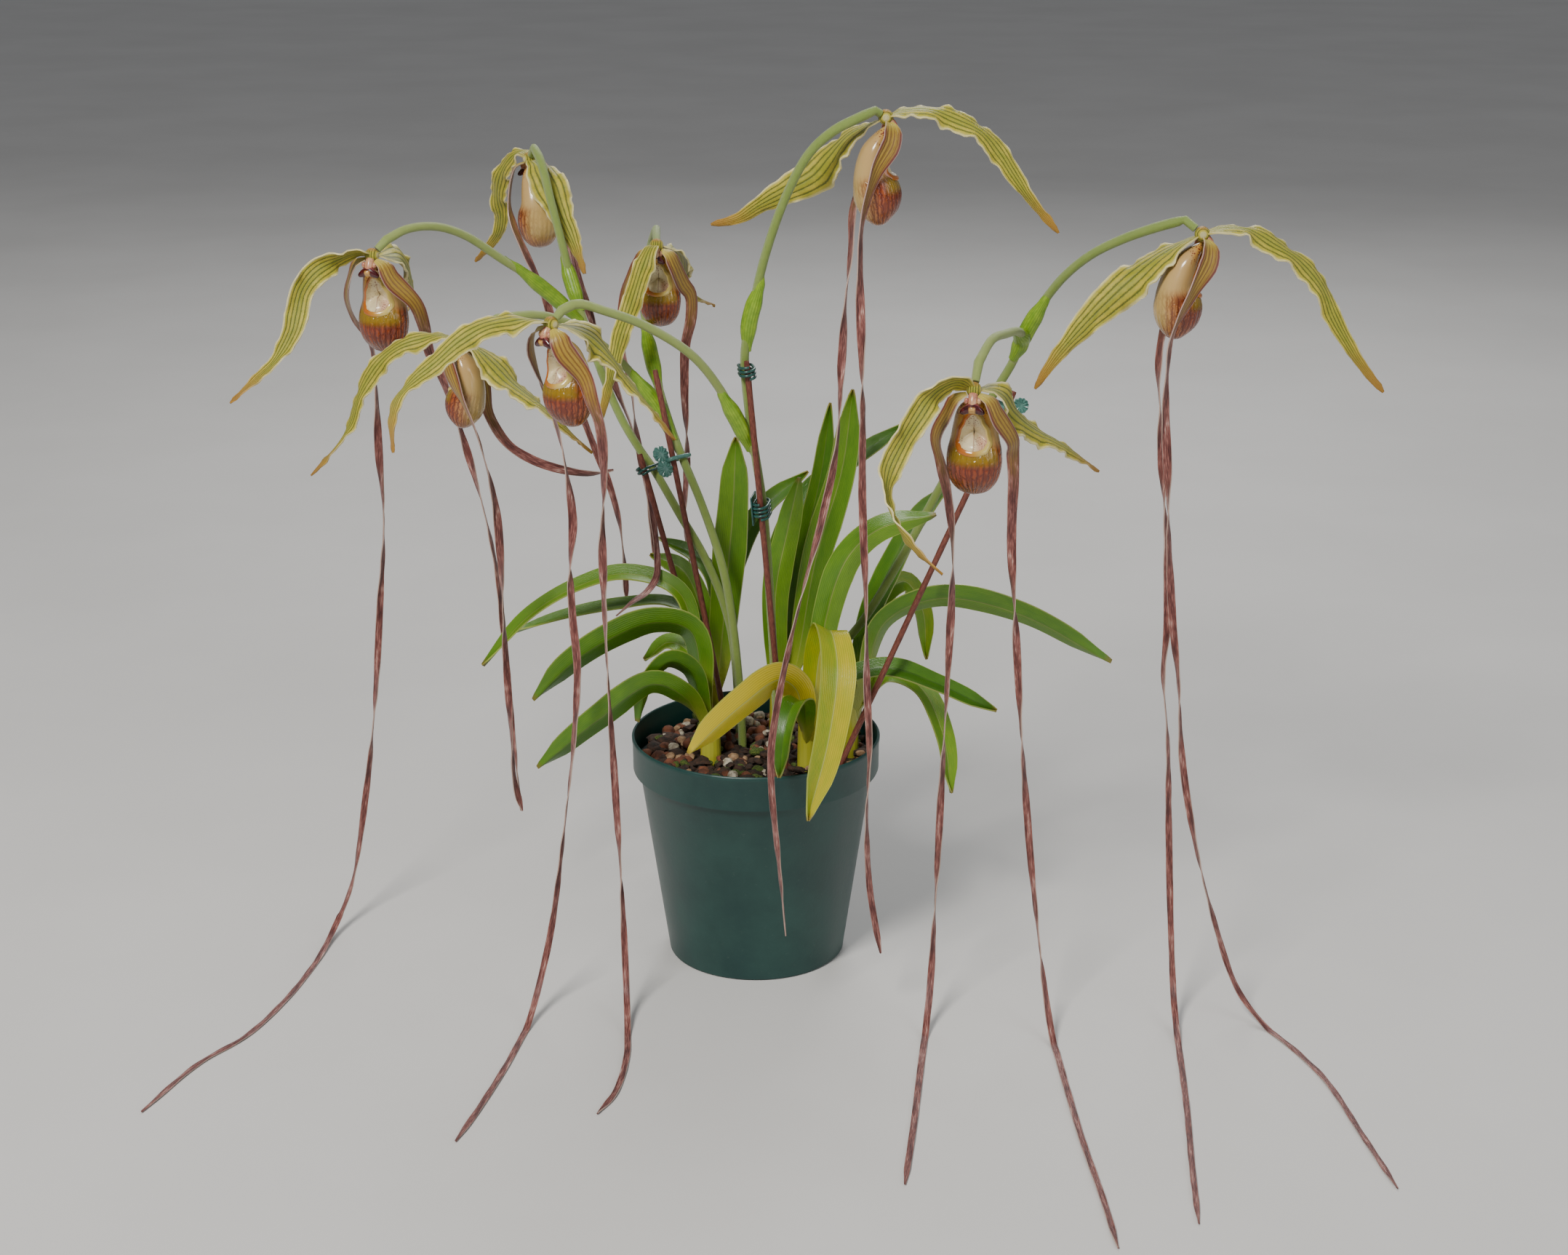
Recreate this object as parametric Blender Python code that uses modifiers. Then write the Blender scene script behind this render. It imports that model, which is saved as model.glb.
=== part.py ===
# Slipper orchid growing in its nursery pot: four flowering stems with two blooms each,
# five fans of strap leaves, and long ribbon petals that hang down and trail on the surface.
# Design points are in millimetres. The origin is the centre of the pot's underside, +Z is up,
# the front of the plant faces -Y, and +X is to its right.
import math
import random

import bpy
import bmesh
from mathutils import Matrix, Vector

for item in list(bpy.data.objects):
    bpy.data.objects.remove(item)
orchid = bpy.data.collections.new("phragmipedium_orchid")
cutters = bpy.data.collections.new("cutters")
for group in (orchid, cutters):
    bpy.context.scene.collection.children.link(group)

MM = 0.001
GAP = 0.3

# Driving dimensions of the pot and its filling
POT_HEIGHT = 140.0
RIM_RADIUS = 75.0
BASE_RADIUS = 54.0
WALL = 1.8
BAND_BOTTOM = 118.0
BAND_STEP = 5.0
POT_SIDES = 28
MIX_TOP = 126.0
MIX_SIDES = 24
MIX_LUMPS = 20
LUMP_SPREAD = 61.0
DRAIN_HOLES = 5
DRAIN_CIRCLE = 34.0
DRAIN_RADIUS = 5.0

# Driving dimensions of the plant
CUP_RADIUS = 4.2
BLADE_THICK = 0.8
PETAL_THICK = 0.7
PETAL_STEP = 10.0
PETAL_STRIDE = 3
FLOOR_LIFT = 0.75
SCAPE_RADIUS = 2.5
STAKE_RADIUS = 1.75
CROWN_RADIUS = 8.0
CROWN_BOTTOM = 104.0
CROWN_TOP = 158.0
LEAF_ROOT = 138.0
LEAF_THICK = 1.0
TALL_LEAF = 185.0
SHOULDER_HIGH = 164.0
SHOULDER_LOW = 158.0

# Each bloom: where its stalk ends, the way it faces in degrees from +X towards +Y, its size next
# to the largest one, and how many degrees its pouch swings forward
BLOOMS = {
    "a": dict(top=(-222, 30, 424), facing=-106, size=0.97, swing=0),
    "b": dict(top=(-141, 150, 463), facing=122, size=0.87, swing=0),
    "c": dict(top=(-170, 4, 379), facing=160, size=0.81, swing=12),
    "d": dict(top=(-109, -80, 406), facing=-132, size=0.96, swing=0),
    "e": dict(top=(-60, 92, 419), facing=-96, size=0.84, swing=0),
    "f": dict(top=(72, -45, 512), facing=0, size=0.93, swing=10),
    "g": dict(top=(119, -98, 374), facing=-100, size=1.0, swing=0),
    "h": dict(top=(242, -70, 453), facing=0, size=0.93, swing=0),
}

# Each upper sepal: how many degrees it rolls on its way out, how far its face turns to the light
# as a share, and its midrib from the cup
DORSALS = {
    "a": (60, 0.8, [(-230, 26, 426), (-241, 19, 423), (-252, 12, 417), (-259, 5, 408), (-262, -1, 395),
               (-264, -6, 386), (-272, -15, 372), (-284, -24, 361), (-296, -33, 351)]),
    "b": (-50, 0.8, [(-146, 154, 467), (-154, 159, 462), (-162, 168, 449), (-165, 177, 434), (-164, 184, 421),
                (-167, 191, 410), (-174, 198, 400), (-184, 205, 389)]),
    "c": (40, 0.7, [(-180, 5, 382), (-192, 5, 380), (-204, 5, 376), (-216, 6, 367), (-225, 6, 355),
               (-231, 6, 343), (-236, 7, 329), (-244, 7, 317), (-261, 8, 298)]),
    "d": (30, 0.8, [(-118, -83, 409), (-130, -88, 409), (-144, -95, 407), (-157, -101, 400),
               (-168, -107, 391),
               (-180, -113, 382), (-188, -118, 373), (-191, -123, 361), (-190, -129, 347)]),
    "e": (-40, 0.9, [(-63, 86, 419), (-68, 76, 408), (-72, 65, 396), (-76, 54, 384), (-80, 44, 373),
                (-83, 33, 360), (-86, 21, 347), (-91, 2, 327)]),
    "f": (70, 0.6, [(80, -45, 515), (95, -46, 516), (110, -46, 511), (124, -47, 504), (134, -47, 493),
               (142, -48, 481), (153, -48, 466), (167, -49, 450)]),
    "g": (-90, 0.8, [(110, -102, 379), (98, -108, 375), (88, -116, 363), (78, -124, 348), (72, -131, 336),
                (71, -136, 326), (77, -145, 311), (87, -152, 299), (100, -160, 289)]),
    "h": (60, 0.6, [(252, -70, 456), (267, -69, 455), (282, -69, 447), (297, -68, 437), (309, -68, 423),
               (316, -68, 408), (325, -67, 393), (335, -67, 379), (347, -66, 365)]),
}

# Each fused lower sepal, in the same way
SYNSEPALS = {
    "a": (0, 0.5, [(-216, 40, 421), (-210, 56, 417), (-208, 72, 407), (-208, 86, 393), (-211, 97, 381),
                   (-217, 102, 373)]),
    "b": (30, 0.65, [(-136, 142, 461), (-127, 129, 449), (-120, 122, 433), (-113, 115, 419),
                     (-108, 107, 408), (-105, 102, 400)]),
    "c": (-30, 0.4, [(-161, 3, 375), (-149, 0, 365), (-140, -3, 356), (-129, -6, 348), (-116, -9, 338),
                (-103, -13, 326), (-93, -16, 318)]),
    "d": (-20, 0.5, [(-99, -71, 402), (-88, -60, 394), (-79, -56, 383), (-71, -54, 371), (-61, -54, 358),
                     (-51, -52, 345), (-44, -49, 334)]),
    "e": (0, 0.3, [(-53, 100, 416), (-45, 115, 409), (-44, 128, 397), (-43, 138, 385), (-36, 147, 376),
                   (-27, 157, 370)]),
    "f": (-70, 0.3, [(64, -42, 508), (52, -38, 501), (42, -33, 489), (33, -28, 478), (20, -24, 470),
                (3, -18, 460), (-9, -14, 452), (-24, -9, 448)]),
    "g": (-20, 0.6, [(126, -92, 373), (136, -84, 367), (143, -76, 356), (154, -67, 345), (173, -55, 332),
                (196, -38, 313)]),
    "h": (-60, 0.3, [(233, -70, 449), (219, -69, 440), (206, -69, 429), (194, -68, 417), (181, -67, 403),
                (167, -67, 386), (155, -66, 367)]),
}

# Each petal: how far it stands off to its side of the pouch, and the route it hangs along
PETALS = {
    "a_left": (-21, [(-238, 52, 382), (-230, 57, 366), (-227, 50, 345), (-227, 47, 303), (-226, 46, 261),
                     (-231, 45, 205), (-237, 42, 141), (-245, 39, 84), (-256, 30, 25), (-264, 8, 6),
                     (-269, -30, 1), (-278, -80, 1), (-292, -125, 1), (-312, -158, 1), (-331, -212, 1)]),
    "a_right": (28, [(-195, 36, 383), (-194, 50, 362), (-188, 56, 345), (-178, 58, 310), (-168, 60, 268),
                     (-161, 62, 227), (-158, 62, 186), (-155, 62, 124), (-151, 63, 62)]),
    "b_left": (21, [(-150, 128, 425), (-142, 124, 407), (-132, 122, 384), (-124, 116, 356), (-116, 110, 330),
                    (-107, 106, 305), (-100, 104, 286), (-93, 102, 268), (-87, 100, 244), (-84, 98, 215),
                    (-83, 98, 192)]),
    "b_right": (-20, [(-118, 147, 415), (-113, 136, 394), (-105, 127, 373), (-96, 112, 350), (-86, 97, 328),
                      (-76, 84, 307), (-69, 74, 289), (-66, 64, 272), (-62, 52, 253), (-60, 40, 239),
                      (-60, 26, 230), (-65, 12, 225), (-73, -2, 223), (-82, -13, 218)]),
    "c_left": (19, [(-160, -19, 332), (-155, -14, 309), (-151, -8, 281), (-150, -4, 252), (-150, 0, 221),
                    (-150, 3, 190), (-149, 6, 144), (-148, 8, 104), (-144, 10, 84)]),
    "c_right": (-18, [(-156, 20, 331), (-146, 20, 314), (-131, 26, 302), (-114, 31, 295), (-97, 34, 292),
                      (-85, 35, 294)]),
    "d_left": (-19, [(-116, -56, 364), (-109, -59, 343), (-103, -66, 312), (-101, -70, 290), (-103, -73, 268),
                     (-102, -76, 236), (-100, -78, 210), (-103, -79, 165), (-108, -80, 125), (-118, -84, 54),
                     (-126, -94, 18), (-132, -118, 1), (-139, -161, 1), (-149, -210, 1), (-157, -243, 1)]),
    "d_right": (20, [(-87, -91, 366), (-83, -88, 350), (-82, -84, 325), (-84, -80, 288), (-84, -78, 255),
                     (-83, -78, 211), (-80, -80, 135), (-77, -84, 60), (-75, -96, 16), (-73, -124, 1),
                     (-72, -152, 1), (-76, -192, 1), (-84, -214, 1)]),
    "e_left": (-23, [(-80, 106, 387), (-83, 110, 371), (-84, 113, 350), (-79, 114, 331), (-76, 114, 300),
                     (-72, 113, 273), (-68, 112, 244), (-64, 110, 214)]),
    "e_right": (17, [(-40, 101, 387), (-40, 104, 373), (-44, 108, 354), (-45, 110, 329), (-44, 110, 281),
                     (-46, 109, 238), (-42, 105, 206), (-44, 100, 177)]),
    "f_left": (19, [(56, -26, 462), (54, -36, 438), (51, -43, 409), (49, -50, 379), (46, -62, 332),
                    (38, -74, 294), (29, -86, 262), (20, -98, 228), (14, -105, 200), (10, -107, 172),
                    (10, -106, 146), (13, -104, 110), (18, -102, 53)]),
    "f_right": (-19, [(59, -64, 458), (58, -68, 433), (59, -74, 397), (60, -80, 360), (60, -88, 312),
                      (62, -97, 260), (63, -104, 210), (65, -105, 168), (64, -103, 128), (66, -101, 84),
                      (73, -98, 40)]),
    "g_left": (-21, [(103, -83, 330), (108, -81, 307), (111, -80, 279), (111, -80, 252), (108, -82, 163),
                     (105, -88, 72), (102, -102, 22), (98, -126, 1), (93, -168, 1), (87, -222, 1),
                     (79, -286, 1)]),
    "g_right": (23, [(142, -89, 336), (143, -86, 320), (143, -83, 298), (144, -81, 271), (148, -82, 222),
                     (152, -82, 173), (160, -90, 88), (167, -106, 28), (171, -136, 1), (173, -190, 1),
                     (175, -240, 1), (179, -300, 1), (181, -345, 1)]),
    "h_left": (19, [(226, -54, 396), (224, -57, 376), (226, -57, 354), (229, -59, 314), (233, -61, 274),
                    (235, -64, 228), (234, -66, 200), (238, -70, 160), (240, -76, 110), (243, -85, 48),
                    (244, -102, 12), (242, -136, 1), (236, -205, 1), (229, -270, 1), (224, -323, 1)]),
    "h_right": (-19, [(226, -87, 402), (224, -88, 383), (224, -88, 362), (227, -88, 326), (230, -88, 282),
                      (234, -88, 240), (239, -88, 203), (243, -89, 160), (252, -90, 112), (266, -92, 60),
                      (282, -98, 16), (297, -118, 1), (316, -170, 1), (325, -239, 1), (331, -290, 1)]),
}

# Each flowering stem: its own route up to the last bloom, the side branch to the other bloom,
# and the bracts that sheathe the start of each bloom's stalk
SCAPES = {
    "scape_centre": dict(
        main=[(14, -20, 104), (13, -20, 150), (9, -25, 230), (5, -31, 290), (0, -32, 325), (-3, -34, 348),
              (-5, -36, 380), (0, -40, 408), (7, -44, 438), (19, -49, 472), (31, -52, 494), (44, -54, 506),
              (56, -53, 512), (66, -49, 516)],
        main_top="f",
        branch=[(0, -32, 322), (-8, -36, 338), (-18, -43, 360), (-34, -53, 383), (-60, -63, 402),
                (-80, -70, 411), (-95, -75, 416), (-103, -78, 413)],
        branch_top="d",
        bracts=[((-2, -32, 324), (-9, -37, 341), (-18, -43, 359)),
                ((-4, -35, 382), (-2, -38, 400), (4, -42, 421))]),
    "scape_left": dict(
        main=[(-8, 8, 104), (-9, 8, 150), (-14, 11, 207), (-20, 16, 240), (-32, 28, 274), (-46, 45, 304),
              (-55, 60, 326), (-62, 80, 345), (-67, 102, 361), (-70, 120, 378), (-69, 129, 398),
              (-65, 127, 414), (-61, 111, 426)],
        main_top="e",
        branch=[(-46, 45, 303), (-57, 52, 325), (-73, 51, 348), (-90, 43, 368), (-108, 32, 383),
                (-126, 20, 391), (-148, 10, 391)],
        branch_top="c",
        bracts=[((-49, 47, 309), (-59, 53, 329), (-74, 50, 350)),
                ((-59, 71, 336), (-64, 88, 351), (-69, 109, 367))]),
    "scape_far_left": dict(
        main=[(-10, 24, 104), (-11, 24, 150), (-16, 26, 200), (-30, 33, 238), (-46, 43, 264), (-62, 55, 289),
              (-70, 61, 299), (-82, 70, 317), (-94, 80, 343), (-105, 92, 372), (-112, 101, 392),
              (-118, 106, 416), (-125, 115, 441), (-132, 129, 464), (-137, 141, 471)],
        main_top="b",
        branch=[(-105, 92, 370), (-119, 88, 385), (-134, 82, 400), (-152, 74, 414), (-172, 63, 430),
                (-188, 52, 437), (-203, 42, 437), (-214, 35, 432)],
        branch_top="a",
        bracts=[((-107, 91, 373), (-124, 86, 390), (-145, 77, 410)),
                ((-107, 95, 378), (-112, 101, 392), (-117, 107, 408))]),
    "scape_right": dict(
        main=[(34, 10, 104), (35, 10, 150), (44, 9, 180), (66, 7, 211), (88, 2, 252), (112, -5, 302),
              (129, -10, 335), (139, -15, 356), (147, -19, 372), (154, -23, 392), (163, -28, 409),
              (173, -35, 424), (186, -43, 437), (202, -51, 447), (219, -60, 455), (233, -66, 460)],
        main_top="h",
        branch=[(147, -19, 372), (151, -27, 386), (147, -42, 394), (139, -58, 396), (130, -74, 396),
                (122, -89, 387)],
        branch_top="g",
        bracts=[((147, -20, 374), (151, -26, 386), (148, -36, 392)),
                ((148, -20, 376), (155, -24, 393), (163, -29, 409))]),
}

# Each fan of leaves: where its crown stands, and its leaves as half their width, how far their
# faces turn to the light as a share, and their routes
FANS = {
    "leaves_left_front": dict(crown=(-27, -14), leaves=[
        (7.5, 0.35, [(-46, 26, 219), (-78, 34, 229), (-107, 36, 221), (-138, 36, 202), (-167, 34, 170)]),
        (11, 0.6, [(-38, -18, 210), (-58, -22, 217), (-84, -27, 209), (-108, -31, 194), (-130, -33, 172)]),
        (7.5, 0.55, [(-38, -31, 190), (-50, -38, 198), (-62, -42, 186), (-68, -42, 162)]),
        (9.5, 0.7, [(-42, -36, 176), (-60, -46, 187), (-90, -55, 169), (-126, -60, 140)]),
        (7, 0.5, [(-40, -4, 192), (-52, 2, 196), (-66, 4, 184)]),
    ]),
    "leaves_left_back": dict(crown=(-27, 38), leaves=[
        (6.5, 0.35, [(-36, 48, 192), (-54, 56, 203), (-85, 61, 200), (-118, 62, 193), (-154, 62, 181)]),
        (10.5, 1, [(-18, 46, 220), (-14, 50, 266), (-12, 53, 310)]),
        (7.5, 0.8, [(-36, 58, 204), (-46, 66, 222), (-66, 74, 229)]),
        (6, 0.4, [(-26, 70, 212), (-40, 84, 226), (-62, 92, 234)]),
        (7, 0.8, [(-14, 64, 224), (4, 78, 258), (32, 90, 278)]),
    ]),
    "leaves_front": dict(crown=(31, -22), leaves=[
        (11.5, 0.7, [(24, -46, 184), (13, -58, 194), (-5, -70, 185), (-24, -80, 171), (-37, -86, 159)]),
        (7, 0, [(28, -55, 179), (22, -70, 183), (17, -82, 171), (15, -89, 146)]),
        (11, 0, [(38, -44, 206), (43, -58, 224), (47, -80, 210), (42, -96, 172), (30, -106, 127)]),
        (6.5, 0.65, [(52, -20, 180), (78, -23, 189), (108, -27, 180), (142, -30, 164)]),
        (9, 0.95, [(42, -24, 222), (54, -26, 258), (72, -29, 276), (104, -34, 286)]),
    ]),
    "leaves_right": dict(crown=(56, 0), leaves=[
        (9, 0.6, [(76, -6, 211), (108, -10, 228), (156, -16, 220), (210, -20, 191)]),
        (7.5, 0.6, [(78, 6, 174), (98, 4, 168), (113, 0, 138), (118, -4, 102)]),
        (7.5, 0.8, [(68, 18, 206), (83, 26, 240), (98, 32, 266), (117, 36, 285)]),
        (6.5, 0.9, [(72, 30, 208), (90, 42, 222), (102, 48, 202), (105, 52, 169)]),
    ]),
    "leaves_right_back": dict(crown=(14, 40), leaves=[
        (6.5, 1, [(28, 48, 233), (40, 56, 289), (45, 62, 329)]),
        (9.5, 1, [(36, 38, 236), (52, 42, 293), (58, 46, 341)]),
        (7, 0.8, [(12, 60, 230), (32, 70, 270), (60, 78, 290), (95, 86, 311)]),
        (8.5, 1, [(12, 26, 221), (19, 24, 259), (26, 24, 292)]),
    ]),
}

# Stakes as top and bottom points
STAKES = {
    "stake_centre": ((-4, -41, 377), (21, -29, 96)),
    "stake_left": ((-60, 49, 352), (-9, 1, 96)),
    "stake_far_left": ((-70, 50, 300), (-14, 18, 96)),
    "stake_right": ((149, -12, 353), (33, -50, 98)),
}

# Coil clips: the stem and stake they hold, the height they sit at and their turns
COIL_CLIPS = {
    "clip_centre_upper": dict(stem="scape_centre", stake="stake_centre", height=371, turns=3),
    "clip_centre_lower": dict(stem="scape_centre", stake="stake_centre", height=290, turns=4),
    "clip_far_left": dict(stem="scape_far_left", stake="stake_far_left", height=290, turns=2),
}
WIRE_RADIUS = 0.8
WIRE_PITCH = 2.3
COIL_STEPS = 8

# Spring claw clips: as above, and the radius of their fluted finger grips
CLAW_CLIPS = {
    "clip_left": dict(stem="scape_left", stake="stake_left", height=300, grip=5.0),
    "clip_right": dict(stem="scape_right", stake="stake_right", height=348, grip=4.6),
}
CLAW_RADIUS = 1.3
CLAW_STEPS = 12
GRIP_THICK = 2.0
FLUTE_SHARE = 0.88


# Faces of leaves and sepals turn this way, over the first share of their length
LIGHT = Vector((0.0, -0.95, 0.32))
LEAN_LENGTH = 0.3


# Routes and frames

def metres(point):
    return Vector(point) * MM


def heading(angle):
    return Vector((math.cos(math.radians(angle)), math.sin(math.radians(angle)), 0.0))


def smooth_route(points, count):
    """Points spaced evenly along one smooth curve through the design points."""
    knots = [metres(p) for p in points]
    knots = [knots[0] * 2 - knots[1]] + knots + [knots[-1] * 2 - knots[-2]]
    fine = []
    for a, b, c, d in zip(knots, knots[1:], knots[2:], knots[3:]):
        ta = 0.0
        tb = ta + (b - a).length ** 0.5
        tc = tb + (c - b).length ** 0.5
        td = tc + (d - c).length ** 0.5
        for step in range(12):
            t = tb + (tc - tb) * step / 12
            ab = a.lerp(b, (t - ta) / (tb - ta))
            bc = b.lerp(c, (t - tb) / (tc - tb))
            cd = c.lerp(d, (t - tc) / (td - tc))
            abc = ab.lerp(bc, (t - ta) / (tc - ta))
            bcd = bc.lerp(cd, (t - tb) / (td - tb))
            fine.append(abc.lerp(bcd, (t - tb) / (tc - tb)))
    fine.append(knots[-2])
    lengths = [0.0]
    for a, b in zip(fine, fine[1:]):
        lengths.append(lengths[-1] + (b - a).length)
    even = []
    at = 0
    for row in range(count):
        target = lengths[-1] * row / (count - 1)
        while at < len(fine) - 2 and lengths[at + 1] < target:
            at += 1
        share = (target - lengths[at]) / (lengths[at + 1] - lengths[at])
        even.append(fine[at].lerp(fine[at + 1], share))
    return even


def shares(route):
    """How far along its route each point lies, from 0 to 1."""
    lengths = [0.0]
    for a, b in zip(route, route[1:]):
        lengths.append(lengths[-1] + (b - a).length)
    return [length / lengths[-1] for length in lengths]


def blend(table, at):
    """A value read from (place, value) pairs, with straight steps between them."""
    for (a, low), (b, high) in zip(table, table[1:]):
        if at <= b:
            return low + (high - low) * (at - a) / (b - a)
    return table[-1][1]


# Objects, solids and unions

def ease(value, low, high):
    """Rises smoothly from 0 at low to 1 at high."""
    share = min(1.0, max(0.0, (value - low) / (high - low)))
    return share * share * (3 - 2 * share)


def new_object(name, mesh):
    item = bpy.data.objects.new(name, mesh)
    bpy.context.scene.collection.objects.link(item)
    return item


def from_bmesh(name, bm):
    mesh = bpy.data.meshes.new(name)
    bm.to_mesh(mesh)
    bm.free()
    return new_object(name, mesh)


def baked(item, weld=0.0):
    """A plain mesh object with the item's modifiers applied, in place of the item."""
    depsgraph = bpy.context.evaluated_depsgraph_get()
    mesh = bpy.data.meshes.new_from_object(item.evaluated_get(depsgraph))
    if weld:
        bm = bmesh.new()
        bm.from_mesh(mesh)
        bmesh.ops.remove_doubles(bm, verts=bm.verts, dist=weld)
        bm.to_mesh(mesh)
        bm.free()
    name = item.name
    matrix = item.matrix_world.copy()
    bpy.data.objects.remove(item)
    fresh = new_object(name, mesh)
    fresh.matrix_world = matrix
    return fresh


def rolled_sides(route, start, roll, lean=0.0):
    """Directions for a blade's width: carried along the route, turned to the light, then rolled."""
    sides = []
    carried = start
    last = 0.0
    for row, along in enumerate(shares(route)):
        tangent = direction(route, row)
        carried = (carried - tangent * carried.dot(tangent)).normalized()
        lit = tangent.cross(LIGHT).normalized()
        turn = math.atan2(tangent.dot(carried.cross(lit)), carried.dot(lit))
        turn -= math.pi * round((turn - last) / math.pi)
        last = turn
        sides.append(Matrix.Rotation(roll(along) + turn * lean * ease(along, 0.0, LEAN_LENGTH), 3,
                                     tangent) @ carried)
    return sides


def direction(route, row):
    return (route[min(row + 1, len(route) - 1)] - route[max(row - 1, 0)]).normalized()


def ribbon(name, route, sides, width, cols, thick, lift=None):
    """A thin blade along a route: an open grid of triangles, given its thickness by Solidify."""
    rows = len(route) - 1
    places = shares(route)
    bm = bmesh.new()
    bmesh.ops.create_grid(bm, x_segments=cols, y_segments=rows, size=1.0)
    for vert in bm.verts:
        across = vert.co.x
        row = round((vert.co.y + 1) / 2 * rows)
        along = places[row]
        place = route[row] + sides[row] * (width(along) * across * MM)
        if lift:
            up = direction(route, row).cross(sides[row])
            place = place + up * (lift(along, across) * MM)
        vert.co = place
    bmesh.ops.triangulate(bm, faces=bm.faces)
    item = from_bmesh(name, bm)
    shell = item.modifiers.new("thickness", "SOLIDIFY")
    shell.thickness = thick * MM
    shell.offset = 0.0
    return item


def tube(name, points, radii, sides_level=1):
    """A round stem as a curve with a bevel and filled caps, its radius given at each point."""
    curve = bpy.data.curves.new(name, "CURVE")
    curve.dimensions = "3D"
    curve.bevel_depth = 1.0
    curve.bevel_resolution = sides_level
    curve.use_fill_caps = True
    spline = curve.splines.new("POLY")
    spline.points.add(len(points) - 1)
    for knot, place, radius in zip(spline.points, points, radii):
        knot.co = (*place, 1.0)
        knot.radius = radius * MM
    return new_object(name, curve)


def tube_solid(name, points, radii, sides_level=1):
    return baked(tube(name, points, radii, sides_level), weld=1e-6)


def ball(name, centre, radii, turn=None, segments=8, rings=6):
    bm = bmesh.new()
    bmesh.ops.create_uvsphere(bm, u_segments=segments, v_segments=rings, radius=1.0)
    matrix = Matrix.Diagonal((*(r * MM for r in radii), 1.0))
    if turn is not None:
        matrix = turn.to_4x4() @ matrix
    bmesh.ops.transform(bm, matrix=Matrix.Translation(metres(centre)) @ matrix, verts=bm.verts)
    return from_bmesh(name, bm)


def fuse(name, pieces):
    """One closed solid from overlapping pieces, by a union with a collection of them."""
    pieces = [baked(piece) for piece in pieces]
    base = pieces[0]
    base.name = name
    joining = bpy.data.collections.new("joining")
    bpy.context.scene.collection.children.link(joining)
    for piece in pieces[1:]:
        bpy.context.scene.collection.objects.unlink(piece)
        joining.objects.link(piece)
    union = base.modifiers.new("union", "BOOLEAN")
    union.operation = "UNION"
    union.operand_type = "COLLECTION"
    union.collection = joining
    union.solver = "EXACT"
    fused = baked(base)
    for piece in list(joining.objects):
        bpy.data.objects.remove(piece)
    bpy.data.collections.remove(joining)
    return fused


def finish(item, paint, smooth=True):
    item.data.materials.clear()
    item.data.materials.append(paint)
    if smooth and item.type == "MESH":
        item.data.shade_smooth()
        item.data.set_sharp_from_angle(angle=math.radians(40))
    bpy.context.scene.collection.objects.unlink(item)
    orchid.objects.link(item)
    return item


def material(name, colour, roughness):
    made = bpy.data.materials.new(name)
    made.use_nodes = True
    shader = made.node_tree.nodes["Principled BSDF"]
    shader.inputs["Base Color"].default_value = (*colour, 1.0)
    shader.inputs["Roughness"].default_value = roughness
    return made


# Blooms

def bloom_frame(spec):
    forward = heading(spec["facing"])
    across = Vector((-forward.y, forward.x, 0.0))
    return metres(spec["top"]), forward, across, spec["size"]


def dorsal_width(along):
    return blend([(0, 2.6), (0.06, 6.2), (0.15, 7.6), (0.32, 7.2), (0.5, 6.9), (0.64, 5.2), (0.78, 3.8),
                  (0.9, 2.6), (1, 1.4)], along)


def synsepal_width(along):
    return blend([(0, 2.6), (0.08, 6.5), (0.2, 12.0), (0.33, 13.5), (0.5, 10.0), (0.64, 7.5), (0.78, 4.6),
                  (0.9, 2.5), (1, 1.3)], along)


def dorsal_sepal(key, spec):
    """The upper sepal: it arches over the pouch and droops to a narrow, turning tip."""
    turn, lean, midrib = DORSALS[key]
    route = smooth_route([spec["top"]] + midrib, 13)
    forward = heading(spec["facing"])
    waves = 4 + 0.5 * (ord(key) % 3)

    def lift(along, across):
        fade = min(1.0, along * 5) * (1.2 - along)
        return -2.2 * across ** 2 * fade + 1.9 * across * math.sin(waves * math.tau * along) * fade

    sides = rolled_sides(route, Vector((-forward.y, forward.x, 0)),
                         lambda along: math.radians(turn) * ease(along, 0.45, 0.85), lean)
    return ribbon("dorsal", route, sides, lambda along: dorsal_width(along) * spec["size"], 2,
                  BLADE_THICK, lift)


def synsepal(key, spec):
    """The fused lower sepals: one broad blade that droops behind the pouch."""
    turn, lean, midrib = SYNSEPALS[key]
    route = smooth_route([spec["top"]] + midrib, 11)
    forward = heading(spec["facing"])
    waves = 3.5 + 0.5 * (ord(key) % 2)

    def lift(along, across):
        fade = min(1.0, along * 3) * (1.25 - along)
        return -3.0 * across ** 2 * fade + 2.2 * across ** 3 * math.sin(waves * math.tau * along + 1) * fade

    sides = rolled_sides(route, Vector((forward.y, -forward.x, 0)),
                         lambda along: math.radians(turn) * ease(along, 0.2, 0.6), lean)
    return ribbon("synsepal", route, sides, lambda along: synsepal_width(along) * spec["size"], 4,
                  BLADE_THICK, lift)


def sepals(key, spec):
    """Cup, both sepals, and the column with its staminode over the pouch's mouth."""
    top, forward, across, size = bloom_frame(spec)
    turn = Matrix((forward, across, Vector((0, 0, 1)))).transposed()
    tip = top + (forward * 6.0 - Vector((0, 0, 9.5))) * size * MM
    column = tube_solid("column", [top, top.lerp(tip, 0.5) + forward * MM, tip], [2.4, 2.3, 2.2])
    staminode = ball("staminode", tip / MM, (2.2 * size, 6.8 * size, 3.0 * size), turn, 6, 4)
    cup = ball("cup", spec["top"], (CUP_RADIUS,) * 3, turn, 6, 5)
    pieces = [cup, dorsal_sepal(key, spec), synsepal(key, spec), column, staminode]
    return finish(fuse(f"sepals_{key}", pieces), sepal_green)


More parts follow.
